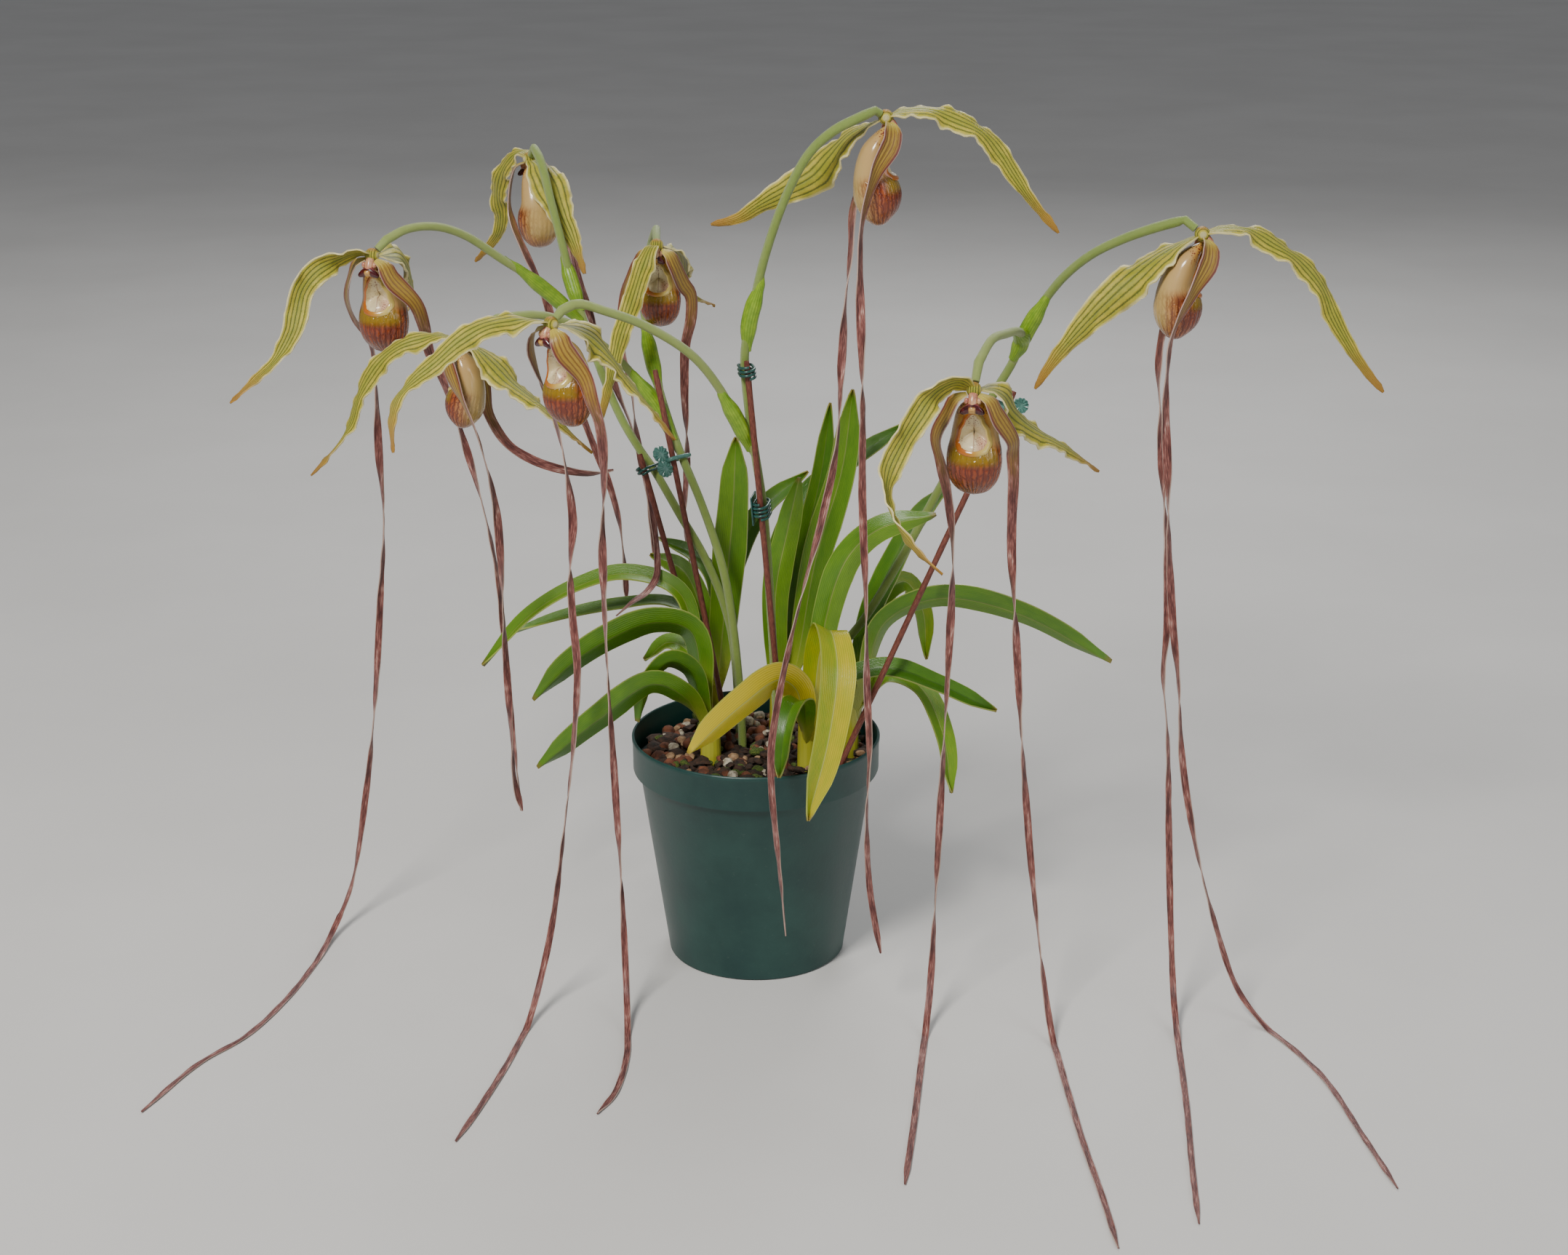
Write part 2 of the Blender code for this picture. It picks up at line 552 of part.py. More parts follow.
# Pouch rings from its claw down to its toe: height, back and front of the ring, half its width
POUCH_RINGS = [(-4.7, -0.5, -0.5, 0), (-8, -8, 0.5, 6), (-14, -16, -1, 10), (-22, -21, -2, 12),
               (-30, -24, -3, 13.5), (-37, -25.5, 1, 15), (-45, -26, 2, 15), (-53, -23.5, -1, 13),
               (-59.5, -18.5, -8, 8), (-62, -13, -13, 0)]
MOUTH_TOP, MOUTH_LIP = -13.0, -35.0
MOUTH_HALF_ANGLE = math.radians(37)


def pouch(key, spec):
    """The slipper: a thin shell hung from its claw, open at the front above the toe."""
    top, forward, across, size = bloom_frame(spec)
    bm = bmesh.new()
    bands = len(POUCH_RINGS) - 1
    bmesh.ops.create_uvsphere(bm, u_segments=10, v_segments=bands, radius=1.0)
    for vert in bm.verts:
        band = round(math.acos(max(-1.0, min(1.0, vert.co.z))) / math.pi * bands)
        height, back, front, half = POUCH_RINGS[band]
        if band == 0:
            height = -(CUP_RADIUS + GAP) / size
        angle = math.atan2(vert.co.y, vert.co.x)
        vert.co = Vector(((back + front) / 2 + (front - back) / 2 * math.cos(angle),
                          half * math.sin(angle), height))
    mouth = []
    for face in bm.faces:
        middle = face.calc_center_median()
        back, front = (blend([(-r[0], r[i]) for r in POUCH_RINGS], -middle.z) for i in (1, 2))
        angle = math.atan2(middle.y, middle.x - (back + front) / 2)
        if MOUTH_LIP < middle.z < MOUTH_TOP and abs(angle) < MOUTH_HALF_ANGLE:
            mouth.append(face)
    bmesh.ops.delete(bm, geom=mouth, context="FACES")
    turn = Matrix((forward, across, Vector((0, 0, 1)))).transposed().to_4x4()
    swing = Matrix.Rotation(-math.radians(spec["swing"]), 4, "Y")
    matrix = Matrix.Translation(top) @ turn @ swing @ Matrix.Scale(size * MM, 4)
    bmesh.ops.transform(bm, matrix=matrix, verts=bm.verts)
    bmesh.ops.recalc_face_normals(bm, faces=bm.faces)
    item = from_bmesh(f"pouch_{key}", bm)
    shell = item.modifiers.new("wall", "SOLIDIFY")
    shell.thickness = 1.0 * MM
    shell.offset = -1.0
    return finish(item, pouch_red)


def petal(name, key, spec, spread, hanging):
    """A ribbon petal: broad beside the pouch, then a long narrow ribbon that turns as it hangs."""
    top, forward, across, size = bloom_frame(spec)
    sign = math.copysign(1.0, spread)
    near = [(3.5, sign * 9.5, -5), (3, sign * 13.5, -13), (-6, (spread + sign * 20) / 2, -29)]
    root = across * (sign * (CUP_RADIUS - 0.8)) + forward * 1.6 - Vector((0, 0, 2.4))
    points = [Vector(spec["top"]) + root]
    for ahead, beside, rise in near:
        points.append(Vector(spec["top"]) + (forward * ahead + across * beside + Vector((0, 0, rise))) * size)
    points += [Vector(p) for p in hanging]
    length = sum((b - a).length for a, b in zip(points, points[1:]))
    strides = round(length / PETAL_STEP / PETAL_STRIDE)
    fine = smooth_route(points, strides * PETAL_STRIDE + 1)
    route = fine[:PETAL_STRIDE] + fine[PETAL_STRIDE::PETAL_STRIDE]
    for place in route:
        place.z = max(place.z, FLOOR_LIFT * MM)

    def width(along):
        profile = [(0, 2.0), (9, 5.6), (18, 6.0), (34, 4.4), (55, 3.5), (90, 2.6), (160, 2.2), (350, 1.9),
                   (700, 1.3)]
        return blend(profile, along * length) * (1.0 if along < 1 else 0.6)

    def roll(along):
        wrap = sign * math.radians(22 + 45 * ease(along * length, 12, 60))
        begun = min(1.0, max(0.0, (along * length - 80) / 80))
        return wrap + begun * (length / 280 * math.tau * along + 0.6 * math.sin(ord(key) + sign + 9 * along))

    sides = rolled_sides(route, forward, roll)
    for row in range(1, len(route)):
        level = direction(route, row).cross(Vector((0, 0, 1)))
        lying = 1 - min(1.0, max(0.0, (route[row].z / MM - 4) / 40))
        if lying > 0 and level.length > 0.05:
            level = level.normalized() * math.copysign(1.0, level.dot(sides[row - 1]))
            own = sides[row] * math.copysign(1.0, level.dot(sides[row]))
            sides[row] = own.lerp(level, lying).normalized()
    return finish(ribbon(name, route, sides, width, 1, PETAL_THICK), petal_pink)


# Stems

def stalk(name, points, top, count):
    """A stem or stalk, whose last straight piece stops just short of the bloom's cup."""
    away = (Vector(points[-1]) - Vector(top)).normalized()
    route = smooth_route(points, count) + [metres(Vector(top) + away * (CUP_RADIUS + GAP))]
    return tube_solid(name, route, [SCAPE_RADIUS] * len(route))


def bract(name, points):
    route = smooth_route(points, 5)
    return tube_solid(name, route, [2.6, 4.6, 5.0, 3.8, 2.6], 1)


def scape(name, spec):
    pieces = [stalk("stem", spec["main"], BLOOMS[spec["main_top"]]["top"], 19),
              stalk("stalk", spec["branch"], BLOOMS[spec["branch_top"]]["top"], 10)]
    for points in spec["bracts"]:
        pieces.append(bract("bract", points))
    return finish(fuse(name, pieces), stem_green)


def leaf(crown, half_width, lean, points):
    """A strap leaf: channelled along its middle, with a blunt tip, rising out of the crown."""
    centre = Vector((*crown, LEAF_ROOT))
    flat = Vector(points[-1]) - centre
    flat.z = 0
    flat.normalize()
    first = Vector(points[0])
    rise = centre.lerp(first, 0.45)
    rise.z = SHOULDER_HIGH if first.z > TALL_LEAF else SHOULDER_LOW
    route = smooth_route([centre + flat * 2.5, rise] + points, 8)

    def width(along):
        return half_width * blend([(0, 0.38), (0.3, 0.8), (0.6, 1.0), (0.85, 0.85), (1, 0.3)], along)

    def lift(along, across):
        return 2.6 * abs(across)

    sides = rolled_sides(route, Vector((-flat.y, flat.x, 0)), lambda along: 0.0, lean)
    return ribbon("leaf", route, sides, width, 2, LEAF_THICK, lift)


def fan(name, spec):
    x, y = spec["crown"]
    bm = bmesh.new()
    middle = (x, y, (CROWN_BOTTOM + CROWN_TOP) / 2)
    bmesh.ops.create_cone(bm, cap_ends=True, segments=8, radius1=CROWN_RADIUS * 0.85 * MM,
                          radius2=CROWN_RADIUS * 0.7 * MM, depth=(CROWN_TOP - CROWN_BOTTOM) * MM,
                          matrix=Matrix.Translation(metres(middle)))
    pieces = [from_bmesh("crown", bm)]
    for half_width, lean, points in spec["leaves"]:
        pieces.append(leaf((x, y), half_width, lean, points))
    return finish(fuse(name, pieces), leaf_green)


# Stakes and clips

def stake(name, ends):
    top, bottom = (metres(p) for p in ends)
    return finish(tube(name, [bottom, top], [STAKE_RADIUS] * 2, 2), stake_brown)


def at_height(points, height):
    """The place and direction where a route of design points passes a height."""
    for low, high in zip(points, points[1:]):
        low, high = Vector(low), Vector(high)
        if low.z <= height <= high.z:
            return low.lerp(high, (height - low.z) / (high.z - low.z)), (high - low).normalized()
    raise ValueError("the route doesn't pass that height")


def held_pair(spec):
    """The middle between stem and stake at a clip, their direction, spacing and offset."""
    stem, rise = at_height(SCAPES[spec["stem"]]["main"], spec["height"])
    top, bottom = STAKES[spec["stake"]]
    post, lean = at_height([bottom, top], spec["height"])
    axis = (rise + lean).normalized()
    apart = (post - stem) - axis * (post - stem).dot(axis)
    return stem, axis, apart.length, apart.normalized()


def loop_point(angle, reach, radius):
    """A point on an oval loop round two stems: two half circles joined by straight sides."""
    x = math.cos(angle) * radius
    return x + (reach if x > 0 else 0), math.sin(angle) * radius


def coil_clip(name, spec):
    """A plastic spring wound round the stem and its stake."""
    stem, axis, reach, out = held_pair(spec)
    beside = axis.cross(out)
    radius = SCAPE_RADIUS + 2 * GAP + 0.2 + WIRE_RADIUS
    points = []
    for i in range(spec["turns"] * COIL_STEPS + 1):
        x, y = loop_point(math.tau * (i + 0.5) / COIL_STEPS, reach, radius)
        climb = (i / COIL_STEPS - spec["turns"] / 2) * WIRE_PITCH
        points.append((stem + out * x + beside * y + axis * climb) * MM)
    return finish(tube(name, points, [WIRE_RADIUS] * len(points), 0), clip_green)


def claw_clip(name, spec):
    """A spring claw: a loop round the stem and its stake, with two fluted finger grips."""
    stem, axis, reach, out = held_pair(spec)
    beside = axis.cross(out)
    radius = SCAPE_RADIUS + 2 * GAP + CLAW_RADIUS
    curve_points = []
    for i in range(CLAW_STEPS):
        x, y = loop_point(math.tau * (i + 0.5) / CLAW_STEPS, reach, radius)
        curve_points.append((stem + out * x + beside * y) * MM)
    loop = tube("loop", curve_points, [CLAW_RADIUS] * CLAW_STEPS, 0)
    loop.data.splines[0].use_cyclic_u = True
    pieces = [baked(loop)]
    for turn in (-1, 1):
        beyond = reach + STAKE_RADIUS + 2 * GAP + spec["grip"]
        centre = stem + out * beyond + axis * (turn * spec["grip"] * 0.9)
        bm = bmesh.new()
        bmesh.ops.create_cone(bm, cap_ends=True, segments=CLAW_STEPS, radius1=spec["grip"] * MM,
                              radius2=spec["grip"] * MM, depth=GRIP_THICK * MM)
        for vert in bm.verts:
            slot = round(math.atan2(vert.co.y, vert.co.x) / (math.tau / CLAW_STEPS))
            if slot % 2:
                vert.co.x *= FLUTE_SHARE
                vert.co.y *= FLUTE_SHARE
        frame = Matrix((axis, out, beside)).transposed().to_4x4()
        bmesh.ops.transform(bm, matrix=Matrix.Translation(centre * MM) @ frame, verts=bm.verts)
        pieces.append(from_bmesh("grip", bm))
    return finish(fuse(name, pieces), clip_green)


# Pot and potting mix

def turned(name, outline, steps):
    """A turned solid: a profile that runs down its outer side, carried round by a Screw modifier."""
    bm = bmesh.new()
    verts = [bm.verts.new(metres((radius, 0, height))) for radius, height in outline]
    for a, b in zip(verts, verts[1:]):
        bm.edges.new((a, b))
    item = from_bmesh(name, bm)
    screw = item.modifiers.new("turn", "SCREW")
    screw.axis = "Z"
    screw.angle = math.tau
    screw.steps = steps
    screw.render_steps = steps
    screw.use_merge_vertices = True
    screw.merge_threshold = 1e-5
    return baked(item)


def pot():
    """A round nursery pot: a rim band, a sloping wall and a flat base with drain holes."""
    floor = WALL * 1.5
    outline = [(0, floor), (BASE_RADIUS - WALL, floor), (RIM_RADIUS - BAND_STEP - WALL, BAND_BOTTOM),
               (RIM_RADIUS - WALL, BAND_BOTTOM + 3), (RIM_RADIUS - WALL, POT_HEIGHT - 0.8),
               (RIM_RADIUS - WALL / 2, POT_HEIGHT), (RIM_RADIUS, POT_HEIGHT - 0.8),
               (RIM_RADIUS - 0.6, BAND_BOTTOM + 1), (RIM_RADIUS - BAND_STEP + 0.5, BAND_BOTTOM - 0.5),
               (BASE_RADIUS, 3), (BASE_RADIUS - 1.5, 0), (0, 0)]
    item = turned("pot", outline, POT_SIDES)
    for i in range(DRAIN_HOLES):
        angle = math.tau * (i + 0.15) / DRAIN_HOLES
        x, y = DRAIN_CIRCLE * math.cos(angle), DRAIN_CIRCLE * math.sin(angle)
        cut(item, cutter_rod(f"drain_{i}", (x, y, -2), (x, y, 8), DRAIN_RADIUS, 8))
    return finish(item, pot_green)


def cutter_rod(name, low, high, radius, segments=10):
    low, high = metres(low), metres(high)
    axis = high - low
    bm = bmesh.new()
    matrix = Matrix.Translation((low + high) / 2) @ axis.to_track_quat("Z", "Y").to_matrix().to_4x4()
    bmesh.ops.create_cone(bm, cap_ends=True, segments=segments, radius1=radius * MM, radius2=radius * MM,
                          depth=axis.length, matrix=matrix)
    rod = from_bmesh(name, bm)
    bpy.context.scene.collection.objects.unlink(rod)
    cutters.objects.link(rod)
    rod.hide_render = True
    rod.display_type = "WIRE"
    return rod


def cut(item, tool):
    hole = item.modifiers.new(tool.name, "BOOLEAN")
    hole.operation = "DIFFERENCE"
    hole.solver = "EXACT"
    hole.object = tool


def potting_mix():
    """The filling: a plug that fits the pot, with pellets standing out of its top."""
    bottom = WALL * 1.5 + GAP
    slope = (RIM_RADIUS - BAND_STEP - BASE_RADIUS) / (BAND_BOTTOM - WALL * 1.5)
    low_radius = BASE_RADIUS - WALL - 2 * GAP
    high_radius = low_radius + slope * (BAND_BOTTOM - bottom) - GAP
    outline = [(0, MIX_TOP), (high_radius, MIX_TOP - 1), (high_radius, BAND_BOTTOM), (low_radius, bottom),
               (0, bottom)]
    pieces = [turned("plug", outline, MIX_SIDES)]
    draw = random.Random(7)
    for i in range(MIX_LUMPS):
        radius = LUMP_SPREAD * math.sqrt((i + 0.5) / MIX_LUMPS)
        angle = i * 2.39996
        size = draw.uniform(5.5, 8.5)
        lump = bmesh.new()
        bmesh.ops.create_icosphere(lump, subdivisions=1, radius=size * MM)
        squash = Matrix.Diagonal((1.0, draw.uniform(0.75, 1.0), draw.uniform(0.6, 0.85), 1.0))
        turn = Matrix.Rotation(draw.uniform(0, math.pi), 4, "Z")
        turn = turn @ Matrix.Rotation(draw.uniform(-0.5, 0.5), 4, "X")
        place = Matrix.Translation(metres((radius * math.cos(angle), radius * math.sin(angle),
                                           MIX_TOP + draw.uniform(-0.5, 1.5))))
        bmesh.ops.transform(lump, matrix=place @ turn @ squash, verts=lump.verts)
        pieces.append(from_bmesh(f"lump_{i}", lump))
    mix = fuse("potting_mix", pieces)
    for name, spec in FANS.items():
        x, y = spec["crown"]
        cut(mix, cutter_rod(f"hole_{name}", (x, y, 103.5), (x, y, 140), CROWN_RADIUS * 0.85 + 0.9, 8))
    for name, spec in SCAPES.items():
        x, y, z = spec["main"][0]
        cut(mix, cutter_rod(f"hole_{name}", (x, y, z - 0.5), (x, y, 142), SCAPE_RADIUS + 1.0, 6))
    for name, (high, low) in STAKES.items():
        high, low = Vector(high), Vector(low)
        axis = (high - low).normalized()
        cut(mix, cutter_rod(f"hole_{name}", low - axis * 0.5, low + axis * 50, STAKE_RADIUS + 0.9, 6))
    return finish(mix, mix_brown)


sepal_green = material("sepal_green", (0.55, 0.58, 0.16), 0.45)
pouch_red = material("pouch_red", (0.42, 0.14, 0.05), 0.3)
petal_pink = material("petal_pink", (0.45, 0.22, 0.2), 0.5)
stem_green = material("stem_green", (0.3, 0.45, 0.1), 0.5)
leaf_green = material("leaf_green", (0.2, 0.4, 0.05), 0.35)
stake_brown = material("stake_brown", (0.22, 0.08, 0.06), 0.5)
clip_green = material("clip_green", (0.03, 0.1, 0.09), 0.35)
pot_green = material("pot_green", (0.02, 0.07, 0.06), 0.45)
mix_brown = material("mix_brown", (0.24, 0.1, 0.05), 0.9)

pot()
potting_mix()
for name, spec in FANS.items():
    fan(name, spec)
for name, spec in SCAPES.items():
    scape(name, spec)
for name, ends in STAKES.items():
    stake(name, ends)
for name, spec in COIL_CLIPS.items():
    coil_clip(name, spec)
for name, spec in CLAW_CLIPS.items():
    claw_clip(name, spec)
for key, spec in BLOOMS.items():
    sepals(key, spec)
    pouch(key, spec)
for name, (spread, hanging) in PETALS.items():
    key = name[0]
    petal(f"petal_{name}", key, BLOOMS[key], spread, hanging)
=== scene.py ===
# The looks of the slipper orchid: finer leaves, stems, blooms, clips, pot and potting mix in place
# of the plain ones, with their procedural finishes, a camera, a floor and soft light.
# Design points are in millimetres, in the part's own frame.
import math
import random

import bmesh
import bpy
from mathutils import Matrix, Vector, noise


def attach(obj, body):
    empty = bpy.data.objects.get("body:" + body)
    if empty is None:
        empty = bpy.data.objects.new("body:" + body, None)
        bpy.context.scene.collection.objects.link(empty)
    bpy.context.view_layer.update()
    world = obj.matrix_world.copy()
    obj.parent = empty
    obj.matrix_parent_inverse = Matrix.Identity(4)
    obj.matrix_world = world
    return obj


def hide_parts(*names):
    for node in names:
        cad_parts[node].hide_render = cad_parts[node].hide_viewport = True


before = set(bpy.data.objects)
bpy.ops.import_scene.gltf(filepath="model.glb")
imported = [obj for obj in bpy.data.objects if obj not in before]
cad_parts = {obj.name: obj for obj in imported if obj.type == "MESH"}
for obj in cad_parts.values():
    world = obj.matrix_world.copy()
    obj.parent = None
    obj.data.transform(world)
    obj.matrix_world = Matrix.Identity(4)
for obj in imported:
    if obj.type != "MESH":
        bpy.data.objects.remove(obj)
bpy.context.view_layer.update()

# Sizes in millimetres that the finer pieces share with the part
MM = 0.001
GAP = 0.3
POT_HEIGHT = 140.0
RIM_RADIUS = 75.0
BASE_RADIUS = 54.0
WALL = 1.8
BAND_BOTTOM = 118.0
BAND_STEP = 5.0
MIX_TOP = 126.0
LUMP_SPREAD = 61.0
DRAIN_HOLES = 5
DRAIN_CIRCLE = 34.0
DRAIN_RADIUS = 5.0
CUP_RADIUS = 4.2
FLOOR_LIFT = 0.75
SCAPE_RADIUS = 2.5
STAKE_RADIUS = 1.75
CROWN_RADIUS = 8.0

# Heights where a crown starts and ends, and where its leaves part from it
CROWN_FOOT, CROWN_END, LEAF_FOOT = 104, 158, 138

# Thicknesses of the thin pieces
SEPAL_THICK, PETAL_THICK, LEAF_THICK = 0.8, 0.6, 0.9
POUCH_THICK, RIM_THICK, GRIP_THICK = 0.9, 0.5, 0.9
POT_FLOOR = WALL * 1.5

# Maps that run along a piece are measured in this length
LONGEST = 600.0

# Steps between two design points of a route, before it is spaced evenly
FINE_STEPS = 24

# The camera stands where the photograph was taken from
CAMERA_PLACE = (0.017, -1.402, 0.6755)
CAMERA_PITCH = 18.5
LENS = 56.92

# Each bloom: where its stalk ends, the way it faces in degrees from +X towards +Y, its size next
# to the largest one, and how many degrees its pouch swings forward
BLOOMS = {
    "a": dict(top=(-222, 30, 424), facing=-106, size=0.97, swing=0),
    "b": dict(top=(-141, 150, 463), facing=122, size=0.87, swing=0),
    "c": dict(top=(-170, 4, 379), facing=160, size=0.81, swing=12),
    "d": dict(top=(-109, -80, 406), facing=-132, size=0.96, swing=0),
    "e": dict(top=(-60, 92, 419), facing=-96, size=0.84, swing=0),
    "f": dict(top=(72, -45, 512), facing=0, size=0.93, swing=10),
    "g": dict(top=(119, -98, 374), facing=-100, size=1.0, swing=0),
    "h": dict(top=(242, -70, 453), facing=0, size=0.93, swing=0),
}

# Each upper sepal: how many degrees it rolls on its way out, how far its face turns to the light
# as a share, and its midrib from the cup
DORSALS = {
    "a": (60, 0.8, [(-230, 26, 426), (-241, 19, 423), (-252, 12, 417), (-259, 5, 408), (-262, -1, 395),
        (-264, -6, 386), (-272, -15, 372), (-284, -24, 361), (-296, -33, 351)]),
    "b": (-50, 0.8, [(-146, 154, 467), (-154, 159, 462), (-162, 168, 449), (-165, 177, 434),
        (-164, 184, 421), (-167, 191, 410), (-174, 198, 400), (-184, 205, 389)]),
    "c": (40, 0.7, [(-180, 5, 382), (-192, 5, 380), (-204, 5, 376), (-216, 6, 367), (-225, 6, 355),
        (-231, 6, 343), (-236, 7, 329), (-244, 7, 317), (-261, 8, 298)]),
    "d": (30, 0.8, [(-118, -83, 409), (-130, -88, 409), (-144, -95, 407), (-157, -101, 400),
        (-168, -107, 391), (-180, -113, 382), (-188, -118, 373), (-191, -123, 361), (-190, -129, 347)]),
    "e": (-40, 0.9, [(-63, 86, 419), (-68, 76, 408), (-72, 65, 396), (-76, 54, 384), (-80, 44, 373),
        (-83, 33, 360), (-86, 21, 347), (-91, 2, 327)]),
    "f": (70, 0.6, [(80, -45, 515), (95, -46, 516), (110, -46, 511), (124, -47, 504), (134, -47, 493),
        (142, -48, 481), (153, -48, 466), (167, -49, 450)]),
    "g": (-90, 0.8, [(110, -102, 379), (98, -108, 375), (88, -116, 363), (78, -124, 348),
        (72, -131, 336), (71, -136, 326), (77, -145, 311), (87, -152, 299), (100, -160, 289)]),
    "h": (60, 0.6, [(252, -70, 456), (267, -69, 455), (282, -69, 447), (297, -68, 437), (309, -68, 423),
        (316, -68, 408), (325, -67, 393), (335, -67, 379), (347, -66, 365)]),
}

# Each fused lower sepal, in the same way
SYNSEPALS = {
    "a": (0, 0.5, [(-216, 40, 421), (-210, 56, 417), (-208, 72, 407), (-208, 86, 393), (-211, 97, 381),
        (-217, 102, 373)]),
    "b": (30, 0.65, [(-136, 142, 461), (-127, 129, 449), (-120, 122, 433), (-113, 115, 419),
        (-108, 107, 408), (-105, 102, 400)]),
    "c": (-30, 0.4, [(-161, 3, 375), (-149, 0, 365), (-140, -3, 356), (-129, -6, 348), (-116, -9, 338),
        (-103, -13, 326), (-93, -16, 318)]),
    "d": (-20, 0.5, [(-99, -71, 402), (-88, -60, 394), (-79, -56, 383), (-71, -54, 371),
        (-61, -54, 358), (-51, -52, 345), (-44, -49, 334)]),
    "e": (0, 0.3, [(-53, 100, 416), (-45, 115, 409), (-44, 128, 397), (-43, 138, 385), (-36, 147, 376),
        (-27, 157, 370)]),
    "f": (-70, 0.3, [(64, -42, 508), (52, -38, 501), (42, -33, 489), (33, -28, 478), (20, -24, 470),
        (3, -18, 460), (-9, -14, 452), (-24, -9, 448)]),
    "g": (-20, 0.6, [(126, -92, 373), (136, -84, 367), (143, -76, 356), (154, -67, 345),
        (173, -55, 332), (196, -38, 313)]),
    "h": (-60, 0.3, [(233, -70, 449), (219, -69, 440), (206, -69, 429), (194, -68, 417),
        (181, -67, 403), (167, -67, 386), (155, -66, 367)]),
}

# Each petal: how far it stands off to its side of the pouch, and the route it hangs along
PETALS = {
    "a_left": (-21, [(-238, 52, 382), (-230, 57, 366), (-227, 50, 345), (-227, 47, 303),
        (-226, 46, 261), (-231, 45, 205), (-237, 42, 141), (-245, 39, 84), (-256, 30, 25), (-264, 8, 6),
        (-269, -30, 1), (-278, -80, 1), (-292, -125, 1), (-312, -158, 1), (-331, -212, 1)]),
    "a_right": (28, [(-195, 36, 383), (-194, 50, 362), (-188, 56, 345), (-178, 58, 310),
        (-168, 60, 268), (-161, 62, 227), (-158, 62, 186), (-155, 62, 124), (-151, 63, 62)]),
    "b_left": (21, [(-150, 128, 425), (-142, 124, 407), (-132, 122, 384), (-124, 116, 356),
        (-116, 110, 330), (-107, 106, 305), (-100, 104, 286), (-93, 102, 268), (-87, 100, 244),
        (-84, 98, 215), (-83, 98, 192)]),
    "b_right": (-20, [(-118, 147, 415), (-113, 136, 394), (-105, 127, 373), (-96, 112, 350),
        (-86, 97, 328), (-76, 84, 307), (-69, 74, 289), (-66, 64, 272), (-62, 52, 253), (-60, 40, 239),
        (-60, 26, 230), (-65, 12, 225), (-73, -2, 223), (-82, -13, 218)]),
    "c_left": (19, [(-160, -19, 332), (-155, -14, 309), (-151, -8, 281), (-150, -4, 252),
        (-150, 0, 221), (-150, 3, 190), (-149, 6, 144), (-148, 8, 104), (-144, 10, 84)]),
    "c_right": (-18, [(-156, 20, 331), (-146, 20, 314), (-131, 26, 302), (-114, 31, 295),
        (-97, 34, 292), (-85, 35, 294)]),
    "d_left": (-19, [(-116, -56, 364), (-109, -59, 343), (-103, -66, 312), (-101, -70, 290),
        (-103, -73, 268), (-102, -76, 236), (-100, -78, 210), (-103, -79, 165), (-108, -80, 125),
        (-118, -84, 54), (-126, -94, 18), (-132, -118, 1), (-139, -161, 1), (-149, -210, 1),
        (-157, -243, 1)]),
    "d_right": (20, [(-87, -91, 366), (-83, -88, 350), (-82, -84, 325), (-84, -80, 288),
        (-84, -78, 255), (-83, -78, 211), (-80, -80, 135), (-77, -84, 60), (-75, -96, 16),
        (-73, -124, 1), (-72, -152, 1), (-76, -192, 1), (-84, -214, 1)]),
    "e_left": (-23, [(-80, 106, 387), (-83, 110, 371), (-84, 113, 350), (-79, 114, 331),
        (-76, 114, 300), (-72, 113, 273), (-68, 112, 244), (-64, 110, 214)]),
    "e_right": (17, [(-40, 101, 387), (-40, 104, 373), (-44, 108, 354), (-45, 110, 329),
        (-44, 110, 281), (-46, 109, 238), (-42, 105, 206), (-44, 100, 177)]),
    "f_left": (19, [(56, -26, 462), (54, -36, 438), (51, -43, 409), (49, -50, 379), (46, -62, 332),
        (38, -74, 294), (29, -86, 262), (20, -98, 228), (14, -105, 200), (10, -107, 172),
        (10, -106, 146), (13, -104, 110), (18, -102, 53)]),
    "f_right": (-19, [(59, -64, 458), (58, -68, 433), (59, -74, 397), (60, -80, 360), (60, -88, 312),
        (62, -97, 260), (63, -104, 210), (65, -105, 168), (64, -103, 128), (66, -101, 84), (73, -98, 40)]),
    "g_left": (-21, [(103, -83, 330), (108, -81, 307), (111, -80, 279), (111, -80, 252),
        (108, -82, 163), (105, -88, 72), (102, -102, 22), (98, -126, 1), (93, -168, 1), (87, -222, 1),
        (79, -286, 1)]),
    "g_right": (23, [(142, -89, 336), (143, -86, 320), (143, -83, 298), (144, -81, 271),
        (148, -82, 222), (152, -82, 173), (160, -90, 88), (167, -106, 28), (171, -136, 1),
        (173, -190, 1), (175, -240, 1), (179, -300, 1), (181, -345, 1)]),
    "h_left": (19, [(226, -54, 396), (224, -57, 376), (226, -57, 354), (229, -59, 314), (233, -61, 274),
        (235, -64, 228), (234, -66, 200), (238, -70, 160), (240, -76, 110), (243, -85, 48),
        (244, -102, 12), (242, -136, 1), (236, -205, 1), (229, -270, 1), (224, -323, 1)]),
    "h_right": (-19, [(226, -87, 402), (224, -88, 383), (224, -88, 362), (227, -88, 326),
        (230, -88, 282), (234, -88, 240), (239, -88, 203), (243, -89, 160), (252, -90, 112),
        (266, -92, 60), (282, -98, 16), (297, -118, 1), (316, -170, 1), (325, -239, 1), (331, -290, 1)]),
}

